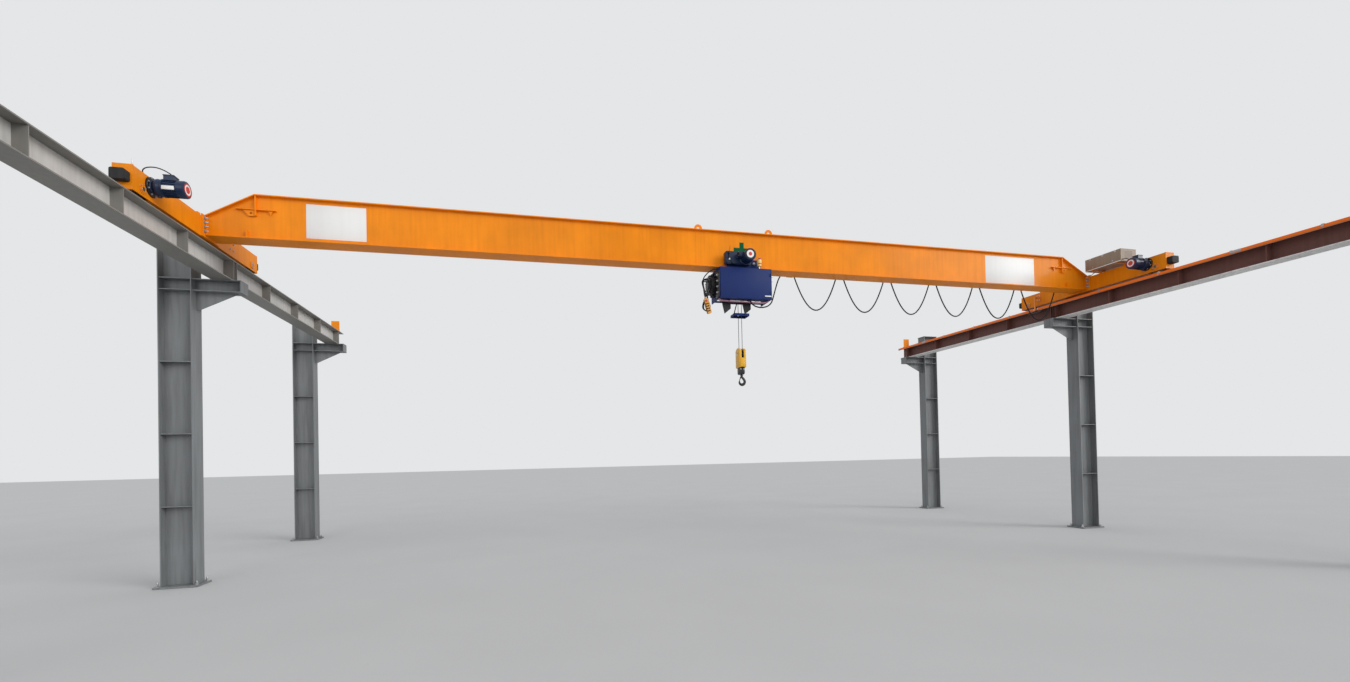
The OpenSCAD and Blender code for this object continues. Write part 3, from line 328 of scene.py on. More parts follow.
def right_beam_paint():
    lower_flange = zone((0.78, 0.77, 0.75), 0.45, z=(-FAR, low("runway_beam_r").z + 0.0145))
    return finish("beam_brown", (0.165, 0.070, 0.056), (0.07, 0.035, 0.03), 0.5, streak=0.3, scale=1.5,
                  zones=(lower_flange,), shine=0.3)


beam_grey = left_beam_paint()
beam_brown = right_beam_paint()
motor_navy = motor_paint()
block_yellow = finish("block_yellow", (0.76, 0.40, 0.010), (0.22, 0.11, 0.02), 0.36, coat=0.2, streak=0.35,
                      shine=0.3)
cabinet_beige = cabinet_paint()
collector_orange = collector_paint()
bar_orange = bar_cover()
station_gold = finish("station_gold", (0.72, 0.33, 0.03), (0.3, 0.13, 0.02), 0.42)
plate_white = finish("plate_white", (0.78, 0.78, 0.76), (0.56, 0.54, 0.50), 0.4, streak=0.10, peel=0.01,
                     spread=0.04)
cross_green = finish("cross_green", (0.001, 0.09, 0.033), (0.003, 0.05, 0.02), 0.5, streak=0.15, shine=0.1)
label_red = finish("label_red", (0.55, 0.03, 0.02), (0.2, 0.02, 0.01), 0.4, streak=0.1)
lamp_cream = finish("lamp_cream", (0.90, 0.60, 0.20), (0.6, 0.30, 0.08), 0.4, streak=0.1)
# Painted reflection: the pink that the hoist box's glossy underside mirrors, worn by the strip under the box.
reflection_pink = finish("reflection_pink", (0.56, 0.28, 0.36), (0.30, 0.10, 0.13), 0.5, streak=0.4)
print("all finishes:", len(bpy.data.materials))

# %% [markdown]
# The frame's own parts keep their shapes and take their paint here. Each name in the record's list
# of parts has a material slot, and each slot has its finish; a few parts take one of their own.

# %% Paint the frame's parts
FINISH_OF = {
    "column_paint": column_grey, "runway_brown": beam_brown, "rail_steel": rail_steel,
    "crane_orange": crane_orange, "conductor_orange": bar_orange, "rubber": rubber,
    "motor_navy": motor_navy, "cabinet_beige": cabinet_beige, "zinc_steel": zinc,
    "hoist_blue": hoist_blue, "drum_steel": drum_steel, "black_paint": black_paint,
    "cable_black": cable_black, "station_yellow": station_gold, "block_yellow": block_yellow,
    "hook_black": hook_black, "wire_rope": rope_steel,
}
SLOT_OF = {row["node"]: row["material_slot"] for row in frame["record"]["subparts"]}
OWN_FINISH = {
    "runway_beam_l": beam_grey, "wheel_l1": wheel_steel, "wheel_l2": wheel_steel, "wheel_r1": wheel_steel,
    "wheel_r2": wheel_steel, "trolley_wheels": wheel_steel, "collector": collector_orange,
}
for name, part in nodes.items():
    part.data.materials.clear()
    part.data.materials.append(OWN_FINISH.get(name, FINISH_OF[SLOT_OF[name]]))
print("painted", len(nodes), "parts")

# %% [markdown]
# Every fitting below is built from a few basic moves, as in a workshop: turning a profile on a lathe,
# cutting an outline from plate, milling a block and breaking its edges, and bending a bar or cable
# along a line. Each move adds its faces to a shape, and `put` hangs the finished shape on a body.

# %% Workshop moves
UP = Vector((0, 0, 1))


def turn_to(place, along):
    """A seat at a place, whose third axis points along a direction."""
    ahead = Vector(along).normalized()
    other = Vector((0, 1, 0)) if abs(ahead.z) > 0.99 else UP
    side = other.cross(ahead).normalized()
    turn = Matrix((side, ahead.cross(side), ahead)).transposed().to_4x4()
    return Matrix.Translation(place) @ turn


def skin(shape, rings, capped=True):
    """Faces between one ring of points and the next; a ring of one point is a tip."""
    made = [[shape.verts.new(p) for p in ring] for ring in rings]
    for first, second in zip(made, made[1:]):
        count = max(len(first), len(second))
        for k in range(count):
            n = (k + 1) % count
            corners = [first[k % len(first)], first[n % len(first)], second[n % len(second)],
                       second[k % len(second)]]
            shape.faces.new(list(dict.fromkeys(corners)))
    for end in (made[0][::-1], made[-1]):
        if capped and len(end) > 2:
            shape.faces.new(end)


def skin_round(shape, rings):
    """Faces between rings that come back to the first, which leaves a hole through the middle."""
    made = [[shape.verts.new(p) for p in ring] for ring in rings]
    count = len(made[0])
    for first, second in zip(made, made[1:] + made[:1]):
        for k in range(count):
            n = (k + 1) % count
            shape.faces.new((first[k], first[n], second[n], second[k]))


def soften(shape, edge, angle=30):
    """Break the sharp edges of a finished shape."""
    bmesh.ops.recalc_face_normals(shape, faces=shape.faces[:])
    sharp = [e for e in shape.edges if e.is_manifold and e.calc_face_angle() > math.radians(angle)]
    bmesh.ops.bevel(shape, geom=sharp, offset=edge, segments=2, profile=0.5, affect="EDGES")


def turned(shape, seat, profile, steps=32):
    """Lathe work: profile is (height, radius) up the axis of the seat."""
    rings = []
    for height, radius in profile:
        angles = [2 * math.pi * k / steps for k in range(steps)] if radius else [0]
        rings.append([seat @ Vector((radius * math.cos(a), radius * math.sin(a), height)) for a in angles])
    skin(shape, rings)


def cut_plate(shape, seat, outline, thick):
    """An outline cut from plate, standing on the seat."""
    rings = [[seat @ Vector((x, y, z)) for x, y in outline] for z in (0, thick)]
    skin(shape, rings)


def round_corners(width, height, radius, steps=4):
    points = []
    for turn, sx, sy in ((0, 1, 1), (1, -1, 1), (2, -1, -1), (3, 1, -1)):
        for k in range(steps + 1):
            a = math.pi / 2 * (turn + k / steps)
            points.append((sx * (width / 2 - radius) + radius * math.cos(a),
                           sy * (height / 2 - radius) + radius * math.sin(a)))
    return points


def slab(shape, low_corner, high_corner, edge=0.002, seat=None):
    """A block with broken edges."""
    block = bmesh.new()
    bmesh.ops.create_cube(block, size=1)
    low_corner, high_corner = Vector(low_corner), Vector(high_corner)
    for vert in block.verts:
        share = vert.co + Vector((0.5, 0.5, 0.5))
        vert.co = [a + (b - a) * s for a, b, s in zip(low_corner, high_corner, share)]
    if edge:
        bmesh.ops.bevel(block, geom=block.edges[:], offset=edge, segments=2, profile=0.5, affect="EDGES")
    if seat is not None:
        block.transform(seat)
    mesh = bpy.data.meshes.new("block")
    block.to_mesh(mesh)
    block.free()
    shape.from_mesh(mesh)
    bpy.data.meshes.remove(mesh)


def bolt(shape, place, along, size, stud=0.0):
    """Washer, hexagon head or nut, and the threaded end of a stud."""
    seat = turn_to(place, along)
    wide, high_side = size * 0.95, size * 0.8
    washer = size * 0.16
    turned(shape, seat, [(0, size * 1.12), (washer, size * 1.12), (washer, wide * 0.9)], 20)
    top = washer + high_side
    head = [(washer, wide * 0.94), (washer + 0.1 * size, wide), (washer + high_side * 0.86, wide),
            (top, wide * 0.84), (top, 0)]
    turned(shape, seat, head, 6)
    if stud:
        pitch = size * 0.22
        turns = int(stud / pitch)
        ridges = [(top + pitch * (k + 0.5 * j), size * (0.5 if j else 0.44))
                  for k in range(turns) for j in (0, 1)]
        turned(shape, seat, ridges + [(top + stud, size * 0.40), (top + stud, 0)], 12)


def put(name, shape, material, body, smooth=35):
    """Turn a shape into one piece with one material, and hang it on a body."""
    mesh = bpy.data.meshes.new(name)
    bmesh.ops.recalc_face_normals(shape, faces=shape.faces[:])
    shape.to_mesh(mesh)
    shape.free()
    mesh.materials.append(material)
    mesh.shade_smooth()
    mesh.set_sharp_from_angle(angle=math.radians(smooth))
    obj = bpy.data.objects.new(name, mesh)
    bpy.context.scene.collection.objects.link(obj)
    if body:
        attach(obj, body)
    return obj


test_shape = bmesh.new()
bolt(test_shape, (0, 0, 0), (0, 0, 1), 0.02, 0.03)
print("one bolt has", len(test_shape.faces), "faces")
test_shape.free()

# %% [markdown]
# The cables are real cords: each is a fixed length of round rubber lead that leaves a gland and hangs
# under its own weight. The trolley's cable runs along the girder in six loops between half-round
# saddles. A loop hangs as a parabola whose ends leave the saddles along their curve. The other leads
# follow a few listed points, joined by one smooth line whose bends stay wide.

# %% Cable moves
SADDLE_X = 1.230
SADDLE_Y = middle("festoon_cable").y
SADDLE_Z = 4.700
SADDLE_R = 0.075
SADDLE_PITCH = 0.95333
LOOPS = 6
LOOP_DEPTH = 0.560
WRAP = math.radians(160.9)
CABLE_R = 0.011
LEAD_R = 0.006
PENDANT_R = 0.008


def smooth_line(points, steps=4):
    """One smooth line through given points, with the same direction on both sides of each."""
    points = [Vector(p) for p in points]
    spans = [(b - a).length for a, b in zip(points, points[1:])]
    aims = [(b - a).normalized() for a, b in zip(points, points[1:])]
    ahead = [aims[0]]
    for before, after, span_before, span_after in zip(aims, aims[1:], spans, spans[1:]):
        ahead.append((before * span_after + after * span_before) / (span_before + span_after))
    ahead.append(aims[-1])
    line = []
    for k, span in enumerate(spans):
        for j in range(steps):
            t = j / steps
            line.append(points[k] * (2 * t ** 3 - 3 * t ** 2 + 1)
                        + ahead[k] * span * (t ** 3 - 2 * t ** 2 + t)
                        + points[k + 1] * (3 * t ** 2 - 2 * t ** 3)
                        + ahead[k + 1] * span * (t ** 3 - t ** 2))
    return line + [points[-1]]


def run_length(line):
    return sum((b - a).length for a, b in zip(line, line[1:]))


def tube(shape, line, radius, sides=12, capped=True):
    """A round bar bent along a line, without twist."""
    line = [Vector(p) for p in line]
    last = len(line) - 1
    side = None
    rings = []
    for k, point in enumerate(line):
        ahead = (line[min(k + 1, last)] - line[max(k - 1, 0)]).normalized()
        if side is None:
            side = ahead.orthogonal().normalized()
        side = (side - ahead * side.dot(ahead)).normalized()
        over = ahead.cross(side)
        thick = radius(k / last) if callable(radius) else radius
        angles = [2 * math.pi * j / sides for j in range(sides)]
        rings.append([point + (side * math.cos(a) + over * math.sin(a)) * thick for a in angles])
    skin(shape, rings, capped)


def cable(name, line, radius, body, parts):
    """A free cord along a line, in place of the parts that stand for it."""
    shape = bmesh.new()
    tube(shape, line, radius)
    obj = put(name, shape, cable_black, body, 60)
    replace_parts(obj, *parts)
    return obj


def saddle_point(k, angle):
    centre = Vector((SADDLE_X + k * SADDLE_PITCH, SADDLE_Y, SADDLE_Z))
    return centre + Vector((-math.cos(angle), 0, math.sin(angle))) * SADDLE_R


def saddle_bend(k, start, end, steps=12):
    return [saddle_point(k, start + (end - start) * j / steps) for j in range(steps + 1)]


print("a saddle bends the cable to", round(SADDLE_R / (2 * CABLE_R), 1), "diameters")

# %% The trolley's cable, from the hoist along the girder
OVER = math.pi / 2


def loop_line(k, steps=32):
    start = saddle_point(k, WRAP)
    end = saddle_point(k + 1, math.pi - WRAP)
    depth = start.z - (SADDLE_Z - LOOP_DEPTH)
    line = []
    for j in range(steps + 1):
        t = j / steps
        line.append(start.lerp(end, t) - UP * (4 * depth * t * (1 - t)))
    return line


def hang_loop(k):
    line = loop_line(k)
    loop = cable(f"festoon_loop_{k + 1}", line, CABLE_R, None, ["festoon_cable"])
    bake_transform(loop)


TOW_ROUTE = [
    (-0.930, -0.492, -0.581), (-0.930, -0.492, -0.600), (-0.910, -0.491, -0.632), (-0.860, -0.478, -0.662),
    (-0.780, -0.445, -0.672), (-0.635, -0.372, -0.645), (-0.475, -0.247, -0.545), (-0.365, -0.122, -0.375),
    (-0.280, -0.037, -0.200), (-0.213, -0.007, -0.050), (-0.175, -0.002, 0.008), (-0.125, 0, 0.048),
    (-0.070, 0, 0.069), (-0.015, 0, 0.075), (0, 0, 0.075),
]
END_ROUTE = [
    (7.235, -0.340, 4.710), (7.200, -0.340, 4.710), (7.150, -0.346, 4.715), (7.100, -0.352, 4.732),
    (7.050, -0.356, 4.755), (7.005, -0.3575, 4.770), (6.965, -0.3575, 4.775), (6.950, -0.3575, 4.775),
]
tow_start = Vector((SADDLE_X, SADDLE_Y, SADDLE_Z))
tow_line = smooth_line([tow_start + Vector(p) for p in TOW_ROUTE]) + saddle_bend(0, OVER, WRAP, 6)[1:]
cable("tow_lead", tow_line, CABLE_R, "hoist", ["hoist_leads", "festoon_cable"])
end_line = smooth_line(END_ROUTE) + saddle_bend(LOOPS, OVER, math.pi - WRAP, 6)[1:]
cable("end_lead", end_line, CABLE_R, "bridge", ["bridge_leads", "festoon_cable"])
for k in range(LOOPS):
    hang_loop(k)
for k in range(1, LOOPS):
    arch = bmesh.new()
    tube(arch, saddle_bend(k, math.pi - WRAP, WRAP), CABLE_R)
    bend = put(f"festoon_bend_{k}", arch, cable_black, f"carrier_{k}", 60)
    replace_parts(bend, "festoon_cable")
print("loops:", LOOPS)

# %% The drives' leads
DRIVE_LEADS = {
    "motor_lead_l": [
        (-7.270, -1.940, 4.912), (-7.270, -1.940, 4.935), (-7.255, -1.931, 4.965), (-7.215, -1.911, 4.990),
        (-7.165, -1.885, 5.000), (-7.115, -1.859, 4.990), (-7.075, -1.837, 4.970), (-7.060, -1.830, 4.960),
        (-7.060, -1.830, 4.948),
    ],
    "supply_lead_l": [
        (-7.060, -1.765, 4.905), (-7.060, -1.740, 4.905), (-7.085, -1.690, 4.910), (-7.140, -1.635, 4.918),
        (-7.205, -1.585, 4.913), (-7.255, -1.525, 4.9075), (-7.280, -1.450, 4.9072), (-7.280, -1.100, 4.9072),
        (-7.280, -0.860, 4.9072),
    ],
    "motor_lead_r": [
        (7.060, -1.765, 4.905), (7.060, -1.740, 4.905), (7.070, -1.695, 4.915), (7.085, -1.650, 4.940),
        (7.097, -1.610, 4.965), (7.100, -1.585, 4.975), (7.100, -1.565, 4.975),
    ],
    "collector_lead": [
        (7.360, -0.860, 4.985), (7.360, -0.830, 4.985), (7.357, -0.770, 4.965), (7.350, -0.700, 4.925),
        (7.343, -0.630, 4.908), (7.335, -0.500, 4.9072), (7.310, 0, 4.9072), (7.310, 0.300, 4.9072),
    ],
}
for name, route in DRIVE_LEADS.items():
    cable(name, smooth_line(route), LEAD_R, "bridge", ["bridge_leads"])

# %% [markdown]
# The pendant's cable is far longer than the way down, so the fitter has wound what is left over into a
# hank and hung it on a peg, with the push-button station tied up beside it. The hank is one line: three
# long turns side by side, worked out by a loop, between a lead down from the hoist's box and a tail
# that comes forward to the station's boot. A strip of tape round the waist draws the runs together, and
# above and below it they fan out a little, as a stiff cable does.

# %% The pendant cable's hank
HANK = middle("pendant_hank")
HANK_TURNS = 3
HANK_FOLD_R = 0.0545
HANK_HALF = (high("pendant_hank").z - low("pendant_hank").z) / 2 - 0.009 - HANK_FOLD_R
HANK_BACK_Y = HANK.y + 0.022
HANK_WAIST = 0.013
HANK_FAN = 0.0145


def hank_line(fold_steps=10, side_steps=14):
    """Down the left side first, under the bottom fold, up the right side and over the top."""
    once = []
    for j in range(side_steps):
        t = j / side_steps
        out = HANK_FOLD_R - (HANK_FOLD_R - HANK_WAIST) * math.sin(math.pi * t) ** 2
        once.append(Vector((-out, 0, HANK_HALF * (1 - 2 * t))))
    for j in range(fold_steps):
        a = math.pi * (1 + j / fold_steps)
        once.append(Vector((math.cos(a), 0, math.sin(a))) * HANK_FOLD_R - UP * HANK_HALF)
    once += [Vector((-p.x, 0, -p.z)) for p in once]
    line = []
    for turn in range(HANK_TURNS):
        for j, point in enumerate(once):
            turned_by = turn + j / len(once)
            spread = math.sin(math.pi / 2 * min(1, abs(point.z) / HANK_HALF)) ** 2
            fan = HANK_FAN * spread * math.sin(2 * math.pi * turned_by / HANK_TURNS)
            back = HANK_BACK_Y - 2 * PENDANT_R * turned_by
            line.append(Vector((HANK.x + point.x + fan, back, HANK.z + point.z)))
    return line


def waist_tape():
    """Two turns of black tape round the waist, one a little above the other."""
    shape = bmesh.new()
    depth = 2 * PENDANT_R * (HANK_TURNS + 1) + 0.008
    middle_y = HANK_BACK_Y - PENDANT_R * HANK_TURNS
    for z, proud in ((-0.014, 0.0), (0.004, 0.001)):
        outline = round_corners(2 * (HANK_WAIST + PENDANT_R) + 0.008 + proud, depth + proud, 0.012, 6)
        seat = Matrix.Translation((HANK.x, middle_y, HANK.z + z))
        inner = round_corners(2 * (HANK_WAIST + PENDANT_R) + 0.004, depth - 0.004, 0.010, 6)
        skin_round(shape, [[seat @ Vector((x, y, level)) for x, y in edge]
                           for edge, level in ((outline, 0), (outline, 0.022), (inner, 0.022), (inner, 0))])
    return put("hank_tape", shape, rubber, "hoist")


LEAD_TO_HANK = [
    (-0.241, -0.830, 4.600), (-0.262, -0.830, 4.600), (-0.310, -0.820, 4.592), (-0.360, -0.795, 4.568),
    (-0.405, -0.765, 4.530), (-0.440, -0.742, 4.485), (-0.460, -0.731, 4.435),
]
TAIL_TO_STATION = [
    (-0.4695, -0.777, 4.360), (-0.469, -0.783, 4.310), (-0.4685, -0.796, 4.255), (-0.464, -0.808, 4.190),
    (-0.4523, -0.808, 4.146),
]
turns = hank_line()
pendant_line = smooth_line(LEAD_TO_HANK + [turns[0]])[:-1] + turns
hank_end = Vector((HANK.x - HANK_FOLD_R, turns[-1].y, HANK.z + HANK_HALF))
pendant_line += smooth_line([turns[-1], hank_end] + TAIL_TO_STATION)[1:]
tape = waist_tape()
cable("pendant_cable", pendant_line, PENDANT_R, "hoist", ["hoist_leads", "pendant_hank"])
print("hank's turns:", HANK_TURNS)

# %% [markdown]
# The columns stand on base plates that are bolted to the floor, and the runway beams lie on corbels.
# Nuts with a washer and a few threads show that the joints are bolted. The flat-bar rail is welded to
# the beam with short stitches on alternate sides, which lets it be cut off and replaced.

# %% Bolts and welds of the runways
COLUMNS = ["l1", "l2", "l3", "r1", "r2", "r3"]
BASE_TOP = 0.025
BEAM_FLANGE = 0.014
RAIL_HALF = 0.025
RAIL_TOP = high("rails").z
BEAM_BOTTOM = low("runway_beam_r").z
BEAM_TOP = high("runway_beam_r").z


def both_sides(values):
    return [s * v for s in (-1, 1) for v in values]


def column_bolts():
    shape = bmesh.new()
    for name in COLUMNS:
        centre = middle(f"column_{name}")
        for dx in (-0.23, 0.23):
            for dy in (-0.13, 0.13):
                bolt(shape, (centre.x + dx, centre.y + dy, BASE_TOP), UP, 0.024, 0.03)
    put("anchor_bolts", shape, zinc, "runway")


def beam_bolts():
    shape = bmesh.new()
    for name in COLUMNS:
        y = middle(f"column_{name}").y
        for x in both_sides([RAIL_X - 0.09, RAIL_X + 0.09]):
            for dy in (-0.07, 0.07):
                bolt(shape, (x, y + dy, BEAM_BOTTOM + BEAM_FLANGE), UP, 0.018, 0.014)
    put("beam_bolts", shape, zinc, "runway")


def weld(shape, line, size=0.005, ripple=0.012):
    """A weld bead: a thin bar whose thickness ripples along the run."""
    total = run_length([Vector(p) for p in line])
    beads = max(2, int(total / ripple))
    points = []
    for a, b in zip(line, line[1:]):
        a, b = Vector(a), Vector(b)
        steps = max(1, round(beads * (b - a).length / total))
        points += [a.lerp(b, j / steps) for j in range(steps)]
    points.append(Vector(line[-1]))
    tube(shape, points, lambda t: size * (1 + 0.12 * math.sin(t * beads * math.pi)), 6)


STITCHES = 34
STITCH_HALF = 0.03


def rail_stitches():
    """Short beads that hold each rail to its beam, on one edge and the other in turn."""
    shape = bmesh.new()
    half = high("rails").y - 0.15
    z = BEAM_TOP + 0.001
    for k in range(STITCHES):
        y = -half + 2 * half * k / (STITCHES - 1)
        for x in both_sides([RAIL_X]):
            edge = x + (RAIL_HALF if k % 2 else -RAIL_HALF)
            weld(shape, [(edge, y - STITCH_HALF, z), (edge, y + STITCH_HALF, z)], 0.004, 0.01)
    put("rail_welds", shape, rail_steel, "runway")


COVER_HALF = 0.0195
SLEEVE_Y = (-3.2, 0.35, 3.9)


def bar_joints():
    """Sleeves over the joints of the conductor's cover, and the caps at its ends."""
    shape = bmesh.new()
    box_low, box_high = low("conductor_bar"), high("conductor_bar")
    left, right = BAR_X - COVER_HALF, BAR_X + COVER_HALF
    top = box_low.z + 0.052
    for y in SLEEVE_Y:
        slab(shape, (left, y - 0.06, box_low.z + 0.012), (right, y + 0.06, top), 0.003)
    for y, along in ((box_low.y, -1), (box_high.y, 1)):
        y0, y1 = sorted((y, y - along * 0.03))
        slab(shape, (left, y0, box_low.z + 0.001), (right, y1, top), 0.004)
    put("bar_joints", shape, bar_orange, "runway")


STOP_Y = 4.910


def stop_bolts():
    """Two bolts hold each end stop's foot down beside the rail."""
    shape = bmesh.new()
    for x in both_sides([RAIL_X - 0.053, RAIL_X + 0.053]):
        for y in (-STOP_Y + 0.012, STOP_Y - 0.012):
            bolt(shape, (x, y, RAIL_TOP), UP, 0.014, 0.006)
    put("stop_bolts", shape, zinc, "runway")


column_bolts()
beam_bolts()
rail_stitches()
bar_joints()
stop_bolts()
print("runway fittings on", len(COLUMNS), "columns")

# %% [markdown]
# The girder is a welded box. Its long seams run under the top plate and along the bottom plate, and
# one upright seam shows where two lengths of web were joined. At each end four rows of nuts on long
# bolts hold the end plate to the truck, and these bolts are the girder's only bolted joint.

# %% The girder's seams and bolted ends
WEB_FRONT = GIRDER_Y - BOX_HALF
WEB_BACK = GIRDER_Y + BOX_HALF
FLANGE_TOP = GIRDER_BOTTOM + PLATE
KNEE_X = 6.67
END_TOP = 4.930
NUT_ROWS = (4.885, 4.827, 4.770, 4.712)
NUT_OUT = 0.16
END_PLATE = 0.016
SEAM_X = -0.552


def girder_seams():
    """Beads along both edges of each web, up its joints, and across the flange below the seam."""
    shape = bmesh.new()
    end = TRUCK_FACE - END_PLATE
    for y in (WEB_FRONT, WEB_BACK):
        weld(shape, [(-end, y, FLANGE_TOP), (end, y, FLANGE_TOP)], 0.005, 0.02)
        under = PLATE + 0.001
        weld(shape, [(-end, y, END_TOP - under), (-KNEE_X, y, GIRDER_TOP - under),
                     (KNEE_X, y, GIRDER_TOP - under), (end, y, END_TOP - under)], 0.005, 0.02)
        weld(shape, [(SEAM_X, y, FLANGE_TOP), (SEAM_X, y, GIRDER_TOP - PLATE)], 0.004)
        for x in (-end, end):
            weld(shape, [(x, y, FLANGE_TOP), (x, y, END_TOP - PLATE)], 0.005)
    weld(shape, [(SEAM_X, GIRDER_Y + side * LIP_HALF, GIRDER_BOTTOM) for side in (-1, 1)], 0.003)
    put("girder_seams", shape, crane_orange, "bridge", 60)


def end_nuts():
    shape = bmesh.new()
    for side in (-1, 1):
        for z in NUT_ROWS:
            for dy in (-NUT_OUT, NUT_OUT):
                bolt(shape, (side * (TRUCK_FACE - END_PLATE), GIRDER_Y + dy, z), (-side, 0, 0), 0.020, 0.027)
    put("girder_end_nuts", shape, zinc, "bridge")


girder_seams()
end_nuts()
print("end nuts:", 2 * 2 * len(NUT_ROWS))

# %% [markdown]
# Two white boards and a green cross are fixed flat on the front web. The cross is the plain sign for
# safety. The boards are left bare.

# %% Boards and the safety cross on the web
BOARDS = (((-6.075, 4.722), (-5.330, 5.192)), ((4.954, 4.684), (6.040, 5.195)))
CROSS_PLACE = (0.222, 4.973)
CROSS_W = 0.275
CROSS_H = 0.252
CROSS_BAR = 0.072


def plain_boards():
    shape = bmesh.new()
    for (x0, z0), (x1, z1) in BOARDS:
        slab(shape, (x0, WEB_FRONT - 0.0025, z0), (x1, WEB_FRONT, z1), 0.001)
        for x in (x0 + 0.02, x1 - 0.02):
            for z in (z0 + 0.02, z1 - 0.02):
                turned(shape, turn_to((x, WEB_FRONT - 0.0025, z), (0, -1, 0)),
                       [(0, 0.005), (0.0012, 0.0045), (0.002, 0.0025), (0.0022, 0)], 12)
    put("web_boards", shape, plate_white, "bridge")


def safety_cross():
    shape = bmesh.new()
    w, h, b = CROSS_W / 2, CROSS_H / 2, CROSS_BAR / 2
    outline = [(-w, -b), (-b, -b), (-b, -h), (b, -h), (b, -b), (w, -b), (w, b), (b, b), (b, h), (-b, h),
               (-b, b), (-w, b)]
    seat = turn_to((CROSS_PLACE[0], WEB_FRONT, CROSS_PLACE[1]), (0, -1, 0))
    cut_plate(shape, seat, outline, 0.0012)
    put("safety_cross", shape, cross_green, "bridge")


plain_boards()
safety_cross()
print("boards:", len(BOARDS))

# %% [markdown]
# Each wheel turns in two flanged bearings bolted to the truck's cheeks, so each bearing gets its ring
# of six small bolts, and the end of each axle has a centre hole from the lathe. Rubber buffers close
# both ends of a truck.

# %% Truck fittings
WHEELS = ["l1", "l2", "r1", "r2"]
TRUCK_HALF = 0.090
BEARING_PROUD = 0.006
BEARING_RING = 0.046
AXLE_PROUD = 0.010
SUNK_SCREW = [(-0.004, 0.013), (-0.0003, 0.013), (-0.0003, 0.0085), (-0.003, 0.008), (-0.003, 0)]


def bearing_bolts():
    shape = bmesh.new()
    for name in WHEELS:
        hub = middle(f"wheel_{name}")
        for side in (-1, 1):
            for k in range(6):
                a = math.radians(60 * k + 30)
                out = side * (TRUCK_HALF + BEARING_PROUD)
                place = hub + Vector((out, BEARING_RING * math.cos(a), BEARING_RING * math.sin(a)))
                bolt(shape, place, (side, 0, 0), 0.008)
    put("bearing_bolts", shape, zinc, "bridge")


def axle_centres(name):
    hub = middle(f"wheel_{name}")
    shape = bmesh.new()
    for side in (-1, 1):
        seat = turn_to(hub + Vector((side * (TRUCK_HALF + AXLE_PROUD), 0, 0)), (side, 0, 0))
        turned(shape, seat, [(0, 0.021), (0.002, 0.0195), (0.002, 0.008), (0.0002, 0.003), (0.0002, 0)], 24)
        for k in range(3):
            a = math.radians(120 * k)
            turned(shape, seat @ Matrix.Translation((0.0135 * math.cos(a), 0.0135 * math.sin(a), 0.002)),
                   [(0, 0.0035), (0.003, 0.003), (0.003, 0)], 8)
    put(f"axle_ends_{name}", shape, wheel_steel, f"wheel_{name}")


def buffer_screws():
    """Two screws sunk in the face of each rubber buffer."""
    screws = bmesh.new()
    box_low, box_high = low("buffers"), high("buffers")
    for x in both_sides([RAIL_X]):
        for y, along in ((box_low.y, -1), (box_high.y, 1)):
            for dx in (-0.035, 0.035):
                seat = turn_to((x + dx, y, (box_low.z + box_high.z) / 2), (0, along, 0))
                turned(screws, seat, SUNK_SCREW, 20)
    put("buffer_screws", screws, black_paint, "bridge")


def truck_bolts():
    """The stops' bolts on the left truck's cheek, and the short rod that stands at its end."""
    shape = bmesh.new()
    for y, z in ((0.047, 4.816), (-0.047, 4.816), (-0.047, 4.726), (0.047, 4.726)):
        bolt(shape, (-TRUCK_FACE, y, z), (1, 0, 0), 0.012, 0.004)
    rod = turn_to((-TRUCK_FACE - 0.012, -2.130, TRUCK_TOP), UP)
    turned(shape, rod,
           [(0, 0.012), (0.008, 0.012), (0.008, 0.006), (0.070, 0.006), (0.072, 0.004), (0.072, 0)], 16)
    put("truck_bolts", shape, zinc, "bridge")


bearing_bolts()
for name in WHEELS:
    axle_centres(name)
buffer_screws()
truck_bolts()
print("bearings:", 2 * len(WHEELS))

# %% [markdown]
# A geared motor drives each truck. Its black flange is bolted up with bright bolts, the fan draws air
# through slots in its cover, drawn as thin black marks that are painted shade, and the round badge on
# the cover is left as plain rings of red and white.
# The same small parts come again on the trolley's motor, so they are functions of a seat on the motor.

# %% Motor fittings
MOTOR_R = 0.095
FAN_FACE_R = MOTOR_R - 0.014
TRAVEL_MOTOR_Y = -1.830
TRAVEL_MOTOR_Z = 4.795
TRAVEL_MOTOR_L = 0.350
NAMEPLATE = ((-7.108, -1.9262, 4.753), (-6.990, -1.912, 4.794))


def ring_of_bolts(shape, seat, radius, count, size, first=0.0, stud=0.0):
    axis = (seat.to_3x3() @ UP).normalized()
    for k in range(count):
        a = math.radians(first + 360 * k / count)
        bolt(shape, seat @ Vector((radius * math.cos(a), radius * math.sin(a), 0)), axis, size, stud)


def fan_badge(name, seat, body, white_r, red_r, ring_r=0.0):
    """Plain rings on the fan cover: white, a red disc, and where it is given a red rim."""
    white, red = bmesh.new(), bmesh.new()
    turned(white, seat, [(0, white_r), (0.0010, white_r - 0.0005), (0.0010, 0)], 40)
    turned(red, seat, [(0, red_r), (0.0016, red_r - 0.0005), (0.0016, 0)], 40)
    if ring_r:
        turned(red, seat, [(0, ring_r), (0.0006, ring_r - 0.0004), (0.0006, 0)], 40)
    put(f"{name}_badge_white", white, plate_white, body)
    put(f"{name}_badge_red", red, label_red, body)


def fan_slot_shade(shape, seat, inner, outer, count=24):
    # Painted shade: each slot is a thin black slab on the cover, in place of an opening's dark inside.
    for k in range(count):
        turn = seat @ Matrix.Rotation(2 * math.pi * k / count, 4, "Z")
        slab(shape, (inner, -0.0022, -0.0005), (outer, 0.0022, 0.0006), 0, turn)


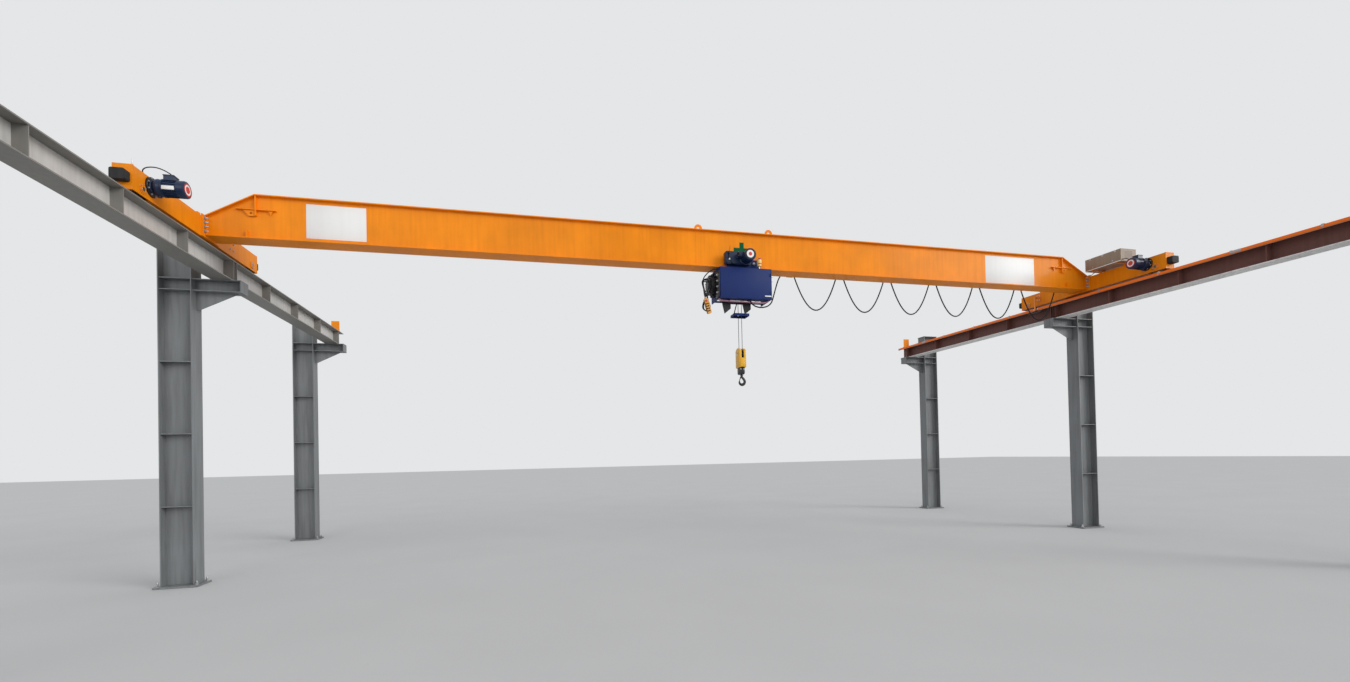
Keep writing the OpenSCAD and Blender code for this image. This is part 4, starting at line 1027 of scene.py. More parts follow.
def lid_screws(shape, low_corner, high_corner, along, inset=0.009):
    """Four screws near the corners of a lid whose flat face points along an axis."""
    axis = [abs(c) for c in along].index(1)
    others = [k for k in range(3) if k != axis]
    level = (high_corner if along[axis] > 0 else low_corner)[axis]
    for first in (low_corner[others[0]] + inset, high_corner[others[0]] - inset):
        for second in (low_corner[others[1]] + inset, high_corner[others[1]] - inset):
            place = Vector((0, 0, 0))
            place[axis] = level
            place[others[0]] = first
            place[others[1]] = second
            seat = turn_to(place, along)
            turned(shape, seat, [(0, 0.0045), (0.0022, 0.0042), (0.003, 0.003), (0.003, 0)], 14)


def travel_motor(name, side):
    screws, dark = bmesh.new(), bmesh.new()
    flange = turn_to((side * (TRUCK_FACE - 0.022), TRAVEL_MOTOR_Y, TRAVEL_MOTOR_Z), (-side, 0, 0))
    ring_of_bolts(screws, flange, 0.095, 8, 0.0095, 22.5, 0.004)
    x0, x1 = sorted((side * (TRUCK_FACE - 0.244), side * (TRUCK_FACE - 0.136)))
    lid_low = (x0, TRAVEL_MOTOR_Y - 0.054, 4.925)
    lid_high = (x1, TRAVEL_MOTOR_Y + 0.054, 4.936)
    lid_screws(screws, lid_low, lid_high, (0, 0, 1))
    fan = turn_to((side * (TRUCK_FACE - TRAVEL_MOTOR_L), TRAVEL_MOTOR_Y, TRAVEL_MOTOR_Z), (-side, 0, 0))
    fan_slot_shade(dark, fan, 0.0725, 0.0800)
    put(f"{name}_screws", screws, zinc, "bridge")
    put(f"{name}_fan_slot_shade", dark, black_paint, "bridge")
    fan_badge(name, fan, "bridge", 0.058, 0.040, 0.070)


def motor_nameplate():
    """A bare plate on its pad, on the side of the left motor that faces the hall."""
    shape = bmesh.new()
    slab(shape, *NAMEPLATE, 0.001)
    put("motor_nameplate", shape, plate_white, "bridge")


travel_motor("travel_l", -1)
travel_motor("travel_r", 1)
motor_nameplate()
print("travel motors dressed")

# %% [markdown]
# The control cabinet is a folded sheet box. Its door faces the hall, on three hinges along the top,
# with two quarter-turn locks below and a paler gasket rim. Louvres in the end let warm air out. The
# locks' key slots and the gaps between the louvres are thin black strips, painted shade.

# %% Cabinet, collector and track fittings


def cabinet_fittings():
    low_c, high_c = low("control_cabinet"), high("control_cabinet")
    base = high_c.z - 0.220
    door, rim, metal, dark = bmesh.new(), bmesh.new(), bmesh.new(), bmesh.new()
    y0, y1 = low_c.y + 0.015, high_c.y - 0.015
    slab(door, (low_c.x - 0.003, y0 + 0.014, base + 0.018), (low_c.x, y1 - 0.014, high_c.z - 0.012), 0.0012)
    slab(rim, (low_c.x - 0.002, y0, base), (low_c.x, y1, base + 0.013), 0.0008)
    for y in (y0 + 0.10, (y0 + y1) / 2, y1 - 0.10):
        seat = turn_to((low_c.x - 0.006, y - 0.022, high_c.z - 0.009), (0, 1, 0))
        turned(metal, seat, [(0, 0.007), (0.044, 0.007)], 16)
        slab(metal, (low_c.x - 0.0045, y - 0.02, high_c.z - 0.035),
             (low_c.x - 0.003, y + 0.02, high_c.z - 0.009), 0.0005)
    for y in (y0 + 0.15, y1 - 0.15):
        seat = turn_to((low_c.x - 0.003, y, base + 0.045), (-1, 0, 0))
        turned(metal, seat, [(0, 0.013), (0.004, 0.012), (0.004, 0.006), (0.006, 0.005), (0.006, 0)], 20)
        # Painted shade: a thin black strip for the key slot in the lock.
        slab(dark, (low_c.x - 0.0095, y - 0.002, base + 0.040), (low_c.x - 0.009, y + 0.002, base + 0.050), 0)
    # Painted shade: black strips for the gaps between the louvres.
    for k in range(6):
        z = base + 0.055 + 0.022 * k
        slab(dark, (low_c.x + 0.09, low_c.y + 0.0142, z), (high_c.x - 0.09, low_c.y + 0.0150, z + 0.006), 0)
    put("cabinet_door", door, cabinet_beige, "bridge")
    put("cabinet_rim", rim, plate_white, "bridge")
    put("cabinet_metal", metal, zinc, "bridge")
    put("cabinet_slot_shade", dark, black_paint, "bridge")


def lead_clip(shape, x, y, z, along_y=True):
    """A bent strip over a lead, with a foot on each side."""
    inner, outer = LEAD_R + 0.0006, LEAD_R + 0.0022
    steps = [math.pi * k / 8 for k in range(9)]
    outline = [(0.020, 0), (0.020, 0.0016), (outer, 0.0016)]
    outline += [(outer * math.cos(a), LEAD_R + outer * math.sin(a)) for a in steps]
    outline += [(-outer, 0.0016), (-0.020, 0.0016), (-0.020, 0), (-inner, 0)]
    outline += [(-inner * math.cos(a), LEAD_R + inner * math.sin(a)) for a in steps]
    outline += [(inner, 0)]
    turn = Matrix(((1, 0, 0), (0, 0, -1), (0, 1, 0))).to_4x4()
    cut_plate(shape, Matrix.Translation((x, y + 0.007, z)) @ turn, outline, 0.014)


def lead_clips():
    shape = bmesh.new()
    for y in (-1.40, -1.15, -0.92):
        lead_clip(shape, -7.280, y, TRUCK_TOP)
    for x, y in ((7.322, -0.25), (7.310, 0.05)):
        lead_clip(shape, x, y, TRUCK_TOP)
    put("lead_clips", shape, zinc, "bridge")


def track_bolts():
    shape = bmesh.new()
    x0, x1 = low("festoon_track").x + 0.060, high("festoon_track").x - 0.060
    for k in range(9):
        place = (x0 + (x1 - x0) * k / 8, WEB_BACK + 0.005, high("festoon_track").z - 0.020)
        bolt(shape, place, (0, 1, 0), 0.008, 0.003)
    collector_y = middle("collector").y
    for dy in (-0.028, 0.028):
        for z in (TRUCK_TOP - 0.060, TRUCK_TOP - 0.150):
            bolt(shape, (TRUCK_FACE - 0.008, collector_y + dy, z), (-1, 0, 0), 0.010)
    put("track_bolts", shape, zinc, "bridge")


cabinet_fittings()
lead_clips()
track_bolts()
print("bridge dressed")

# %% [markdown]
# The trolley runs on the girder's bottom flange. Its gear case is one casting with a bolted cover, and
# a short limit switch with a lever stands at the case's corner, where the end stops trip it. A small
# warning lamp stands on the control box beside the motor.

# %% Trolley drive, limit switch and lamp
SIDE_PLATE_OUT = 0.1785
TROLLEY_AXLE = 0.190
TROLLEY_AXLE_Z = middle("trolley_wheels").z
GEAR_COVER_Y = GIRDER_Y - SIDE_PLATE_OUT - 0.090
GEAR_COVER = ((-0.108, 4.700), (0.308, 4.881))
TROLLEY_FAN = (HOIST_X + 0.005, GIRDER_Y - SIDE_PLATE_OUT - 0.329, FLANGE_TOP + 0.100)
CLEAR_OF_MOTOR = 0.108
SWITCH_X = -0.058
LAMP_PLACE = (0.455, -0.860)
LAMP_WINDOWS = ((4.700, 0.018), (4.776, 0.024))


def gear_cover_bolts(shape):
    (x0, z0), (x1, z1) = GEAR_COVER
    inset = 0.016
    xs = [x0 + inset + (x1 - x0 - 2 * inset) * k / 4 for k in range(5)]
    zs = [z0 + inset, z1 - inset]
    motor_x, _, motor_z = TROLLEY_FAN
    places = [(x, z) for x in xs for z in zs if math.hypot(x - motor_x, z - motor_z) > CLEAR_OF_MOTOR]
    places += [(x0 + inset, (z0 + z1) / 2)]
    for x, z in places:
        bolt(shape, (x, GEAR_COVER_Y, z), (0, -1, 0), 0.008)


def trolley_fittings():
    bolts, dark, painted = bmesh.new(), bmesh.new(), bmesh.new()
    gear_cover_bolts(painted)
    cap = turn_to((HOIST_X - TROLLEY_AXLE, GEAR_COVER_Y - 0.012, TROLLEY_AXLE_Z), (0, -1, 0))
    ring_of_bolts(painted, cap, 0.038, 6, 0.007)
    for side, x in ((-1, TROLLEY_AXLE), (1, -TROLLEY_AXLE), (1, TROLLEY_AXLE)):
        place = (HOIST_X + x, GIRDER_Y + side * (SIDE_PLATE_OUT + 0.010), TROLLEY_AXLE_Z)
        bolt(bolts, place, (0, side, 0), 0.020, 0.006)
    for side in (-1, 1):
        for x in (-0.250, -0.08, 0.08, 0.250):
            place = (HOIST_X + x, GIRDER_Y + side * SIDE_PLATE_OUT, FRAME_TOP + 0.025)
            if side > 0 or x > 0.2:
                bolt(bolts, place, (0, side, 0), 0.014, 0.004)
    box_low = (TROLLEY_FAN[0] - MOTOR_R - 0.052, GEAR_COVER_Y - 0.125, TROLLEY_FAN[2] - 0.006)
    box_high = (TROLLEY_FAN[0] - MOTOR_R, GEAR_COVER_Y - 0.035, TROLLEY_FAN[2] + 0.074)
    slab(dark, (box_low[0] - 0.002, box_low[1] + 0.004, box_low[2] + 0.004),
         (box_low[0], box_high[1] - 0.004, box_high[2] - 0.004), 0.0008)
    lid_screws(bolts, (box_low[0] - 0.002, box_low[1], box_low[2]), (box_low[0], box_high[1], box_high[2]),
               (-1, 0, 0))
    fan = turn_to(TROLLEY_FAN, (0, -1, 0))
    turned(dark, fan, [(0, FAN_FACE_R - 0.0005), (0.0005, FAN_FACE_R - 0.001), (0.0005, 0)], 40)
    # Painted shade: the fan cover's slots are thin black slabs; the disc under them and the box's lid are
    # black parts.
    fan_slot_shade(dark, fan @ Matrix.Translation((0, 0, 0.0006)), 0.0660, 0.0780)
    put("trolley_bolts", bolts, zinc, "hoist")
    put("gear_case_bolts", painted, motor_navy, "hoist")
    put("trolley_black_and_slot_shade", dark, black_paint, "hoist")
    fan_badge("trolley", fan @ Matrix.Translation((0, 0, 0.0005)), "hoist", 0.060, 0.030)


def limit_switch():
    """Body and lever at the gear case's corner: white foot, zinc stem, black roller and a thin rod."""
    x, y = SWITCH_X, GEAR_COVER_Y - 0.015
    white, metal, dark = bmesh.new(), bmesh.new(), bmesh.new()
    foot = [(0, 0.008), (0.003, 0.012), (0.022, 0.012), (0.025, 0.009), (0.025, 0)]
    stem = [(0, 0.010), (0.050, 0.010), (0.056, 0.007), (0.072, 0.007), (0.072, 0)]
    roller = [(0, 0.010), (0.006, 0.017), (0.028, 0.017), (0.036, 0.008), (0.036, 0)]
    rod = [(0, 0.0028), (0.096, 0.0024), (0.098, 0.0015), (0.098, 0)]
    turned(white, turn_to((x, y, 4.742), UP), foot, 20)
    turned(metal, turn_to((x, y, 4.767), UP), stem, 20)
    slab(metal, (x - 0.014, y, 4.785), (x + 0.014, GEAR_COVER_Y, 4.815), 0.001)
    turned(dark, turn_to((x, y, 4.838), UP), roller, 24)
    turned(metal, turn_to((x, y, 4.872), (0.16, 0, 1)), rod, 12)
    put("limit_switch_foot", white, plate_white, "hoist")
    put("limit_switch_stem", metal, rope_steel, "hoist")
    put("limit_switch_roller", dark, black_paint, "hoist")


def arc_points(seat, radius, level, angles):
    return [seat @ Vector((radius * math.cos(a), radius * math.sin(a), level)) for a in angles]


def warning_lamp():
    """Cream body with two red windows, on a round foot on the control box."""
    x, y = LAMP_PLACE
    cream, red, foot = bmesh.new(), bmesh.new(), bmesh.new()
    slab(foot, (x - 0.032, y - 0.032, FRAME_TOP), (x + 0.032, y + 0.032, FRAME_TOP + 0.004), 0.001)
    stem = [(0, 0.016), (0.008, 0.010), (0.040, 0.010), (0.040, 0)]
    turned(foot, turn_to((x, y, FRAME_TOP + 0.004), UP), stem, 20)
    body = [(0, 0.024), (0.006, 0.036), (0.060, 0.038), (0.063, 0.041), (0.072, 0.041), (0.075, 0.038)]
    dome = [(0.110 + 0.036 * math.sin(math.pi * k / 12), 0.038 * math.cos(math.pi * k / 12))
            for k in range(7)]
    turned(cream, turn_to((x, y, FRAME_TOP + 0.044), UP), body + dome, 32)
    angles = [math.radians(-135 + 90 * k / 10) for k in range(11)]
    for z, height in LAMP_WINDOWS:
        front = turn_to((x, y, z), UP)
        band = [(0, 0.0380), (0.002, 0.0392), (height - 0.002, 0.0392), (height, 0.0380)]
        skin(red, [arc_points(front, radius, level, angles) + arc_points(front, 0.0340, level, angles[::-1])
                   for level, radius in band])
    put("lamp_body", cream, lamp_cream, "hoist")
    put("lamp_windows", red, label_red, "hoist")
    put("lamp_foot", foot, zinc, "hoist")


trolley_fittings()
limit_switch()
warning_lamp()
print("trolley dressed")

# %% [markdown]
# The hoist's control box is a folded sheet box with a door over its whole front. The door stands a
# little proud, turns on two hinges at its right edge and closes with two locks. A pale seal shows at
# its lower corner, and two white glands stand at the box's side. Under the box, a pink strip with
# white patches is painted reflection: what the box's glossy underside mirrors of the hall around it.

# %% Control box and the painted reflection under it
HOIST_BOX_HALF = 0.436
HOIST_BOX_BOTTOM = FRAME_TOP - 0.490
GLAND = [(0, 0.017), (0.009, 0.017), (0.009, 0.013), (0.026, 0.013), (0.032, 0.009), (0.044, 0.008),
         (0.044, 0)]
# Place and width of the strip of painted reflection under the box.
REFLECTION_Y = -0.795
REFLECTION_W = 0.060


def hoist_box_fittings():
    door, metal, white, dark = bmesh.new(), bmesh.new(), bmesh.new(), bmesh.new()
    x0, x1 = HOIST_X - HOIST_BOX_HALF, HOIST_X + HOIST_BOX_HALF
    front = low("hoist_box").y
    bottom = HOIST_BOX_BOTTOM
    slab(door, (x0 + 0.010, front - 0.003, bottom + 0.012), (x1 - 0.010, front, FRAME_TOP - 0.010), 0.0012)
    for z in (bottom + 0.10, FRAME_TOP - 0.10):
        turned(metal, turn_to((x1 - 0.004, front - 0.006, z - 0.03), UP), [(0, 0.006), (0.060, 0.006)], 14)
        slab(metal, (x1 - 0.040, front - 0.0042, z - 0.025), (x1 - 0.006, front - 0.003, z + 0.025), 0.0005)
        lock = turn_to((x0 + 0.032, front - 0.003, z), (0, -1, 0))
        turned(dark, lock, [(0, 0.011), (0.003, 0.010), (0.003, 0.0055), (0.005, 0.005), (0.005, 0)], 20)
    slab(white, (x1 - 0.115, front - 0.0042, 4.176), (x1 - 0.004, front - 0.003, 4.194), 0.0004)
    for z in (4.508, 4.439):
        gland = turn_to((x1, front + 0.030, z), (1, 0, 0))
        turned(white, gland, GLAND, 24)
    put("box_door", door, hoist_blue, "hoist")
    put("box_hinges", metal, hoist_blue, "hoist")
    put("box_white", white, plate_white, "hoist")
    put("box_locks", dark, black_paint, "hoist")


def reflection_strip():
    """A strip of painted reflection under the box: a shallow pink trough with white patches, its ends turned
    up to the box's edges.
    """
    shape, white = bmesh.new(), bmesh.new()
    x0, x1 = HOIST_X - 0.430, HOIST_X + 0.430
    bottom = HOIST_BOX_BOTTOM
    sag = [(x0, 0.001), (x0 + 0.03, 0.022), (x0 + 0.12, 0.030), (HOIST_X, 0.032), (x1 - 0.16, 0.040),
           (x1 - 0.05, 0.030), (x1, 0.001)]
    line = smooth_line([Vector((x, 0, bottom - drop)) for x, drop in sag], 6)
    sheet, lip = 0.002, 0.010
    half, inner = REFLECTION_W / 2, REFLECTION_W / 2 - sheet
    section = [(-half, lip), (-half, 0), (half, 0), (half, lip), (inner, lip), (inner, sheet),
               (-inner, sheet), (-inner, lip)]
    skin(shape, [[Vector((p.x, REFLECTION_Y + y, p.z + z)) for y, z in section] for p in line])
    # Painted reflection: white patches where the box's glossy underside mirrors the bright outdoors.
    for x in (HOIST_X - 0.14, HOIST_X - 0.02, HOIST_X + 0.17):
        slab(white, (x, REFLECTION_Y - REFLECTION_W / 2 - 0.0015, bottom - 0.032),
             (x + 0.07, REFLECTION_Y - REFLECTION_W / 2, bottom - 0.022), 0.0005)
    put("reflection_strip", shape, reflection_pink, "hoist")
    put("reflection_whites", white, plate_white, "hoist")


def end_cap():
    """Black cap that closes the box's end, held by a row of four bright bolts."""
    cap, bolts = bmesh.new(), bmesh.new()
    x1 = HOIST_X - HOIST_BOX_HALF
    x0 = x1 - 0.018
    slab(cap, (x0, low("hoist_box").y + 0.004, FRAME_TOP - 0.474),
         (x1, GIRDER_Y - 0.150, FRAME_TOP - 0.058), 0.004)
    for z in (4.222, 4.313, 4.404, 4.495):
        bolt(bolts, (x0, -0.858, z), (-1, 0, 0), 0.019, 0.010)
    put("end_cap", cap, black_paint, "hoist")
    put("end_cap_bolts", bolts, zinc, "hoist")


hoist_box_fittings()
reflection_strip()
end_cap()
print("control box dressed")

# %% [markdown]
# Behind the box the drum turns between two end plates. The gearbox is bolted up by a ring of twelve
# large bolts, painted over with it. Rope lies on one half of the drum in close turns, and the bare
# half shows the groove that it will run into, which is the same spiral.

# %% Gearbox, drum and rope turns
DRUM_R = 0.120
ROPE_R = 0.0045
ROPE_PITCH = 0.0105
DRUM_HALF = 0.376
GEAR_FACE_X = HOIST_X - 0.460
BEARING_FACE_X = HOIST_X + 0.440


def drum_axis(x, along=1):
    return turn_to((x, GIRDER_Y, DRUM_Z), (along, 0, 0))


def gearbox_fittings():
    black, shape = bmesh.new(), bmesh.new()
    ring_of_bolts(black, drum_axis(GEAR_FACE_X, -1), 0.175, 12, 0.019, 7.4)
    ring_of_bolts(black, drum_axis(GEAR_FACE_X - 0.070, -1), 0.140, 8, 0.012, 22.5)
    ring_of_bolts(shape, drum_axis(BEARING_FACE_X), 0.055, 6, 0.012)
    put("gearbox_bolts", black, black_paint, "hoist")
    put("drum_cap_bolts", shape, zinc, "hoist")
    cap = bmesh.new()
    profile = [(0, 0.042), (0.014, 0.042), (0.018, 0.038), (0.018, 0.010), (0.012, 0.008), (0.012, 0)]
    turned(cap, drum_axis(BEARING_FACE_X), profile, 40)
    put("drum_bearing_cap", cap, hoist_blue, "hoist")


def spiral(start_x, end_x, radius, pitch, steps=28):
    """A helix round the drum's axis."""
    turns_in = abs(end_x - start_x) / pitch
    count = int(turns_in * steps)
    line = []
    for k in range(count + 1):
        a = 2 * math.pi * k / steps
        line.append(Vector((start_x + (end_x - start_x) * k / count, GIRDER_Y + radius * math.sin(a),
                            DRUM_Z - radius * math.cos(a))))
    return line


def wound_rope():
    rope, ridge = bmesh.new(), bmesh.new()
    tube(rope, spiral(HOIST_X + 0.01, HOIST_X + DRUM_HALF - 0.02, DRUM_R + ROPE_R - 0.001, ROPE_PITCH),
         ROPE_R, 6)
    tube(ridge, spiral(HOIST_X - 0.01, HOIST_X - DRUM_HALF + 0.02, DRUM_R, ROPE_PITCH, 20), 0.0018, 4)
    put("wound_rope", rope, rope_steel, "drum", 60)
    put("drum_groove", ridge, drum_steel, "drum", 60)


gearbox_fittings()
wound_rope()
print("drum wound")

# %% [markdown]
# Under the drum two plates ride on the frame's tie bars and carry pointed wear plates beside the
# falls. Below them a small slotted plate hangs on two leaning rods. The block pushes it up to stop
# the hoist. The photograph shows this plate slimmer than the ready-made part, so the guide is made
# anew here, in the same place: slabs for the plates, two pulled outlines for the wear plates, and
# a tray whose slot lets both falls through.

# %% Rope guide
LIMIT_TOP = FRAME_BOTTOM - 0.172
LIMIT_X, LIMIT_Y, LIMIT_H = 0.128, 0.098, 0.042
SHEET = 0.006
ROD_FOOT, ROD_HEAD, ROD_R = 0.106, 0.052, 0.008
BAR_PLATE_X = (HOIST_X - 0.232, HOIST_X + 0.120)
WEAR_X = (HOIST_X - 0.348, HOIST_X - 0.003)
WEAR_OUTLINE = [(0, -0.004), (0.150, -0.004), (0.150, -0.110), (0.045, -0.195)]


def guide_slab(shape, x, y, z):
    """A slab given by its two ends along each axis, from the hoist's middle and the frame's bottom."""
    origin = Vector((HOIST_X, GIRDER_Y, FRAME_BOTTOM))
    slab(shape, origin + Vector((x[0], y[0], z[0])), origin + Vector((x[1], y[1], z[1])), 0.001)


def guide_plates():
    shape, bolts = bmesh.new(), bmesh.new()
    for x in BAR_PLATE_X:
        across = (x - HOIST_X, x - HOIST_X + 0.014)
        guide_slab(shape, across, (-0.148, 0.148), (-0.008, 0.068))
        guide_slab(shape, across, (-0.135, -0.108), (-0.030, 0))
    guide_slab(shape, (-0.220, 0.122), (-0.020, 0.020), (-0.004, 0.008))
    for x in WEAR_X:
        outline = [(x + a, FRAME_BOTTOM + b) for a, b in WEAR_OUTLINE]
        skin(shape, [[Vector((a, GIRDER_Y + y, b)) for a, b in outline] for y in (-0.119, -0.109)])
    for y in (-0.09, 0.09):
        for x in BAR_PLATE_X:
            bolt(bolts, (x + 0.014, GIRDER_Y + y, FRAME_BOTTOM + 0.030), (1, 0, 0), 0.012)
    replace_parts(put("guide_plates", shape, black_paint, "hoist"), "rope_guide")
    put("guide_bolts", bolts, zinc, "hoist")


def limit_plate():
    tray, rods = bmesh.new(), bmesh.new()
    top = LIMIT_TOP - FRAME_BOTTOM
    for side in (-1, 1):
        guide_slab(tray, sorted((side * 0.017, side * LIMIT_X)), (-LIMIT_Y, LIMIT_Y), (top - SHEET, top))
        guide_slab(tray, sorted((side * LIMIT_X, side * (LIMIT_X - SHEET))), (-LIMIT_Y, LIMIT_Y),
                   (top - LIMIT_H, top))
        guide_slab(tray, (-LIMIT_X, LIMIT_X), sorted((side * LIMIT_Y, side * (LIMIT_Y - SHEET))),
                   (top - LIMIT_H, top))
        foot = Vector((HOIST_X + side * ROD_FOOT, GIRDER_Y, LIMIT_TOP - 0.012))
        head = Vector((HOIST_X + side * ROD_HEAD, GIRDER_Y, FRAME_BOTTOM + 0.002))
        turned(rods, turn_to(foot, head - foot), [(0, 0), (0, ROD_R), ((head - foot).length, ROD_R),
                                                  ((head - foot).length, 0)], 16)
        bolt(rods, (foot.x, GIRDER_Y, LIMIT_TOP), UP, 0.014)
    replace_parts(put("limit_plate", tray, hoist_blue, "hoist"), "rope_guide")
    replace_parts(put("limit_rods", rods, black_paint, "hoist"), "rope_guide")


guide_plates()
limit_plate()
print("limit plate hangs", round(FRAME_BOTTOM - LIMIT_TOP, 3), "m under the frame")

# %% [markdown]
# Wire rope is six strands laid round a core, and the lay shows even from afar as a slanting sparkle.
# Each fall is six thin helices. The falls are taut, and each runs straight between the drum and the
# block. Round the sheave the same six strands ride on the block.

# %% Wire rope
SHEAVE_Z = 3.280
FALL_Y = 0.0748
STRANDS = 6
STRAND_R = 0.0015
LAY_LENGTH = 0.060


def strands(shape, line):
    """Six strands laid round a line."""
    last = len(line) - 1
    for strand in range(STRANDS):
        path = []
        run = 0.0
        side = (line[1] - line[0]).orthogonal().normalized()
        for k, point in enumerate(line):
            ahead = (line[min(k + 1, last)] - line[max(k - 1, 0)]).normalized()
            side = (side - ahead * side.dot(ahead)).normalized()
            a = 2 * math.pi * (run / LAY_LENGTH + strand / STRANDS)
            path.append(point + (side * math.cos(a) + ahead.cross(side) * math.sin(a)) * (ROPE_R - STRAND_R))
            if k < last:
                run += (line[k + 1] - point).length
        tube(shape, path, STRAND_R, 5)
    tube(shape, line, ROPE_R - 1.6 * STRAND_R, 5)


def rope_fall(name, y):
    top = Vector((HOIST_X, y, high("ropes").z))
    foot = Vector((HOIST_X, y, SHEAVE_Z))
    shape = bmesh.new()
    count = 170
    strands(shape, [top.lerp(foot, k / count) for k in range(count + 1)])
    rope = put(name, shape, rope_steel, None, 60)
    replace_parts(rope, "ropes")
    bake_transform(rope)


def rope_round_sheave():
    shape = bmesh.new()
    count = 40
    line = []
    for k in range(count + 1):
        a = math.pi * k / count
        line.append(Vector((HOIST_X, GIRDER_Y - FALL_Y * math.cos(a), SHEAVE_Z - FALL_Y * math.sin(a))))
    strands(shape, line)
    put("rope_round_sheave", shape, rope_steel, "hook_block", 60)


rope_fall("rope_fall_front", GIRDER_Y - FALL_Y)
rope_fall("rope_fall_back", GIRDER_Y + FALL_Y)
rope_round_sheave()
print("rope falls", round(high("ropes").z - SHEAVE_Z, 2), "m")

# %% [markdown]
# The hook block is two thick yellow cheeks over a grooved sheave. A plate in front and one behind
# close the lower half, and the slot above them lets the rope in. In the photograph the block is slim,
# so it is cut anew here over the frame's plain one: cheeks as plates with a rounded outline, whose
# edges are then broken, and the sheave on the lathe.

# %% Hook block
BLOCK_LOW = 3.070
CHEEK_IN = 0.020
CHEEK_OUT = 0.0575
CHEEK_HALF = 0.092
CHEEK_ROUND = 0.110
COVER_T = 0.003
KEEPER_UP = 0.0275
KEEPER_T = 0.005


def block_seat(x, y, z, along):
    return turn_to((HOIST_X + x, GIRDER_Y + y, z), along)


def lower_corner(half, radius, steps=4):
    """The rounded corner at the lower right of an outline that stands on zero."""
    bend = [math.pi / 2 * k / steps for k in range(steps + 1)]
    return [(half - radius + radius * math.sin(a), radius - radius * math.cos(a)) for a in bend]


def mirrored(points):
    return [(-x, z) for x, z in reversed(points)]


def block_piece(name, shape, material):
    return put(name, shape, material, "hook_block")


def block_cheeks():
    shape, covers = bmesh.new(), bmesh.new()
    corner = lower_corner(CHEEK_HALF, 0.014)
    first = math.acos(CHEEK_HALF / CHEEK_ROUND)
    bend = [first + (math.pi - 2 * first) * k / 16 for k in range(17)]
    arch = [(CHEEK_ROUND * math.cos(a), SHEAVE_Z - BLOCK_LOW + CHEEK_ROUND * math.sin(a)) for a in bend]
    outline = corner + arch + mirrored(corner)
    for side in (-1, 1):
        cheek = block_seat(side * CHEEK_IN, 0, BLOCK_LOW, (side, 0, 0))
        cut_plate(shape, cheek, outline, CHEEK_OUT - CHEEK_IN)
        cover = block_seat(0, side * CHEEK_HALF, BLOCK_LOW + 0.082, (0, side, 0))
        cut_plate(covers, cover, round_corners(0.074, 0.148, 0.010), COVER_T)
    soften(shape, 0.004)
    soften(covers, 0.0008)
    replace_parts(block_piece("block_cheeks", shape, block_yellow), "hook_block")
    block_piece("block_covers", covers, block_yellow)


def sheave():
    shape = bmesh.new()
    rim = FALL_Y + 0.012
    root = FALL_Y - ROPE_R - 0.0003
    profile = [(-0.017, 0), (-0.017, 0.034), (-0.009, 0.040), (-0.009, rim - 0.012), (-0.017, rim - 0.008),
               (-0.017, rim), (-0.012, rim), (-0.004, root + 0.001), (0, root)]
    profile += [(-h, r) for h, r in reversed(profile[:-1])]
    turned(shape, block_seat(0, 0, SHEAVE_Z, (1, 0, 0)), profile, 56)
    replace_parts(block_piece("sheave", shape, black_paint), "hook_block")


def pin_ends():
    metal = bmesh.new()
    end = [(0, 0.021), (0.005, 0.021), (0.007, 0.019), (0.007, 0.006), (0.0045, 0.003), (0.0045, 0)]
    for side in (-1, 1):
        turned(metal, block_seat(side * CHEEK_OUT, 0, SHEAVE_Z, (side, 0, 0)), end)
        keeper = block_seat(side * CHEEK_OUT, 0, SHEAVE_Z + KEEPER_UP, (side, 0, 0))
        cut_plate(metal, keeper, round_corners(0.068, 0.019, 0.003), KEEPER_T)
        for dy in (-0.024, 0.024):
            place = (HOIST_X + side * (CHEEK_OUT + KEEPER_T), GIRDER_Y + dy, SHEAVE_Z + KEEPER_UP)
            bolt(metal, place, (side, 0, 0), 0.008)
    block_piece("pin_ends", metal, zinc)


block_cheeks()
sheave()
pin_ends()
print("block", round(2 * CHEEK_OUT, 3), "m wide")

# %% [markdown]
# Under the cheeks hangs a black housing, closed in front and behind by plates with round lower
# corners and two bright bolts each. The crosshead in it carries the hook's nut, and its bore lets the
# shank turn. A ring of points round the bore joins the same number of points round the outside.

# %% Crosshead and its housing
CROSSHEAD_LOW = 2.960
CROSSHEAD_H = 0.058
HOUSING_HALF = 0.0425
HOUSING_DEPTH = 0.058
HOUSING_T = 0.008
WALL_UP = 0.020
SHANK_BORE_R = 0.0176


def housing():
    shape, bolts = bmesh.new(), bmesh.new()
    height = BLOCK_LOW - CROSSHEAD_LOW + 0.001
    corner = lower_corner(HOUSING_HALF, 0.024, 6)
    plate = corner + [(HOUSING_HALF, height), (-HOUSING_HALF, height)] + mirrored(corner)
    inside = HOUSING_DEPTH - HOUSING_T
    for side in (-1, 1):
        cut_plate(shape, block_seat(0, side * inside, CROSSHEAD_LOW, (0, side, 0)), plate, HOUSING_T)
        wall = block_seat(side * (HOUSING_HALF - HOUSING_T), 0, CROSSHEAD_LOW + WALL_UP, (side, 0, 0))
        half, top = inside + 0.001, height - WALL_UP
        cut_plate(shape, wall, [(-half, 0), (half, 0), (half, top), (-half, top)], HOUSING_T)
        for x in (-0.028, 0.028):
            place = (HOIST_X + x, GIRDER_Y + side * HOUSING_DEPTH, CROSSHEAD_LOW + 0.084)
            bolt(bolts, place, (0, side, 0), 0.010)
    soften(shape, 0.0015)
    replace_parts(block_piece("crosshead_housing", shape, black_paint), "hook_block")
    block_piece("housing_bolts", bolts, zinc)


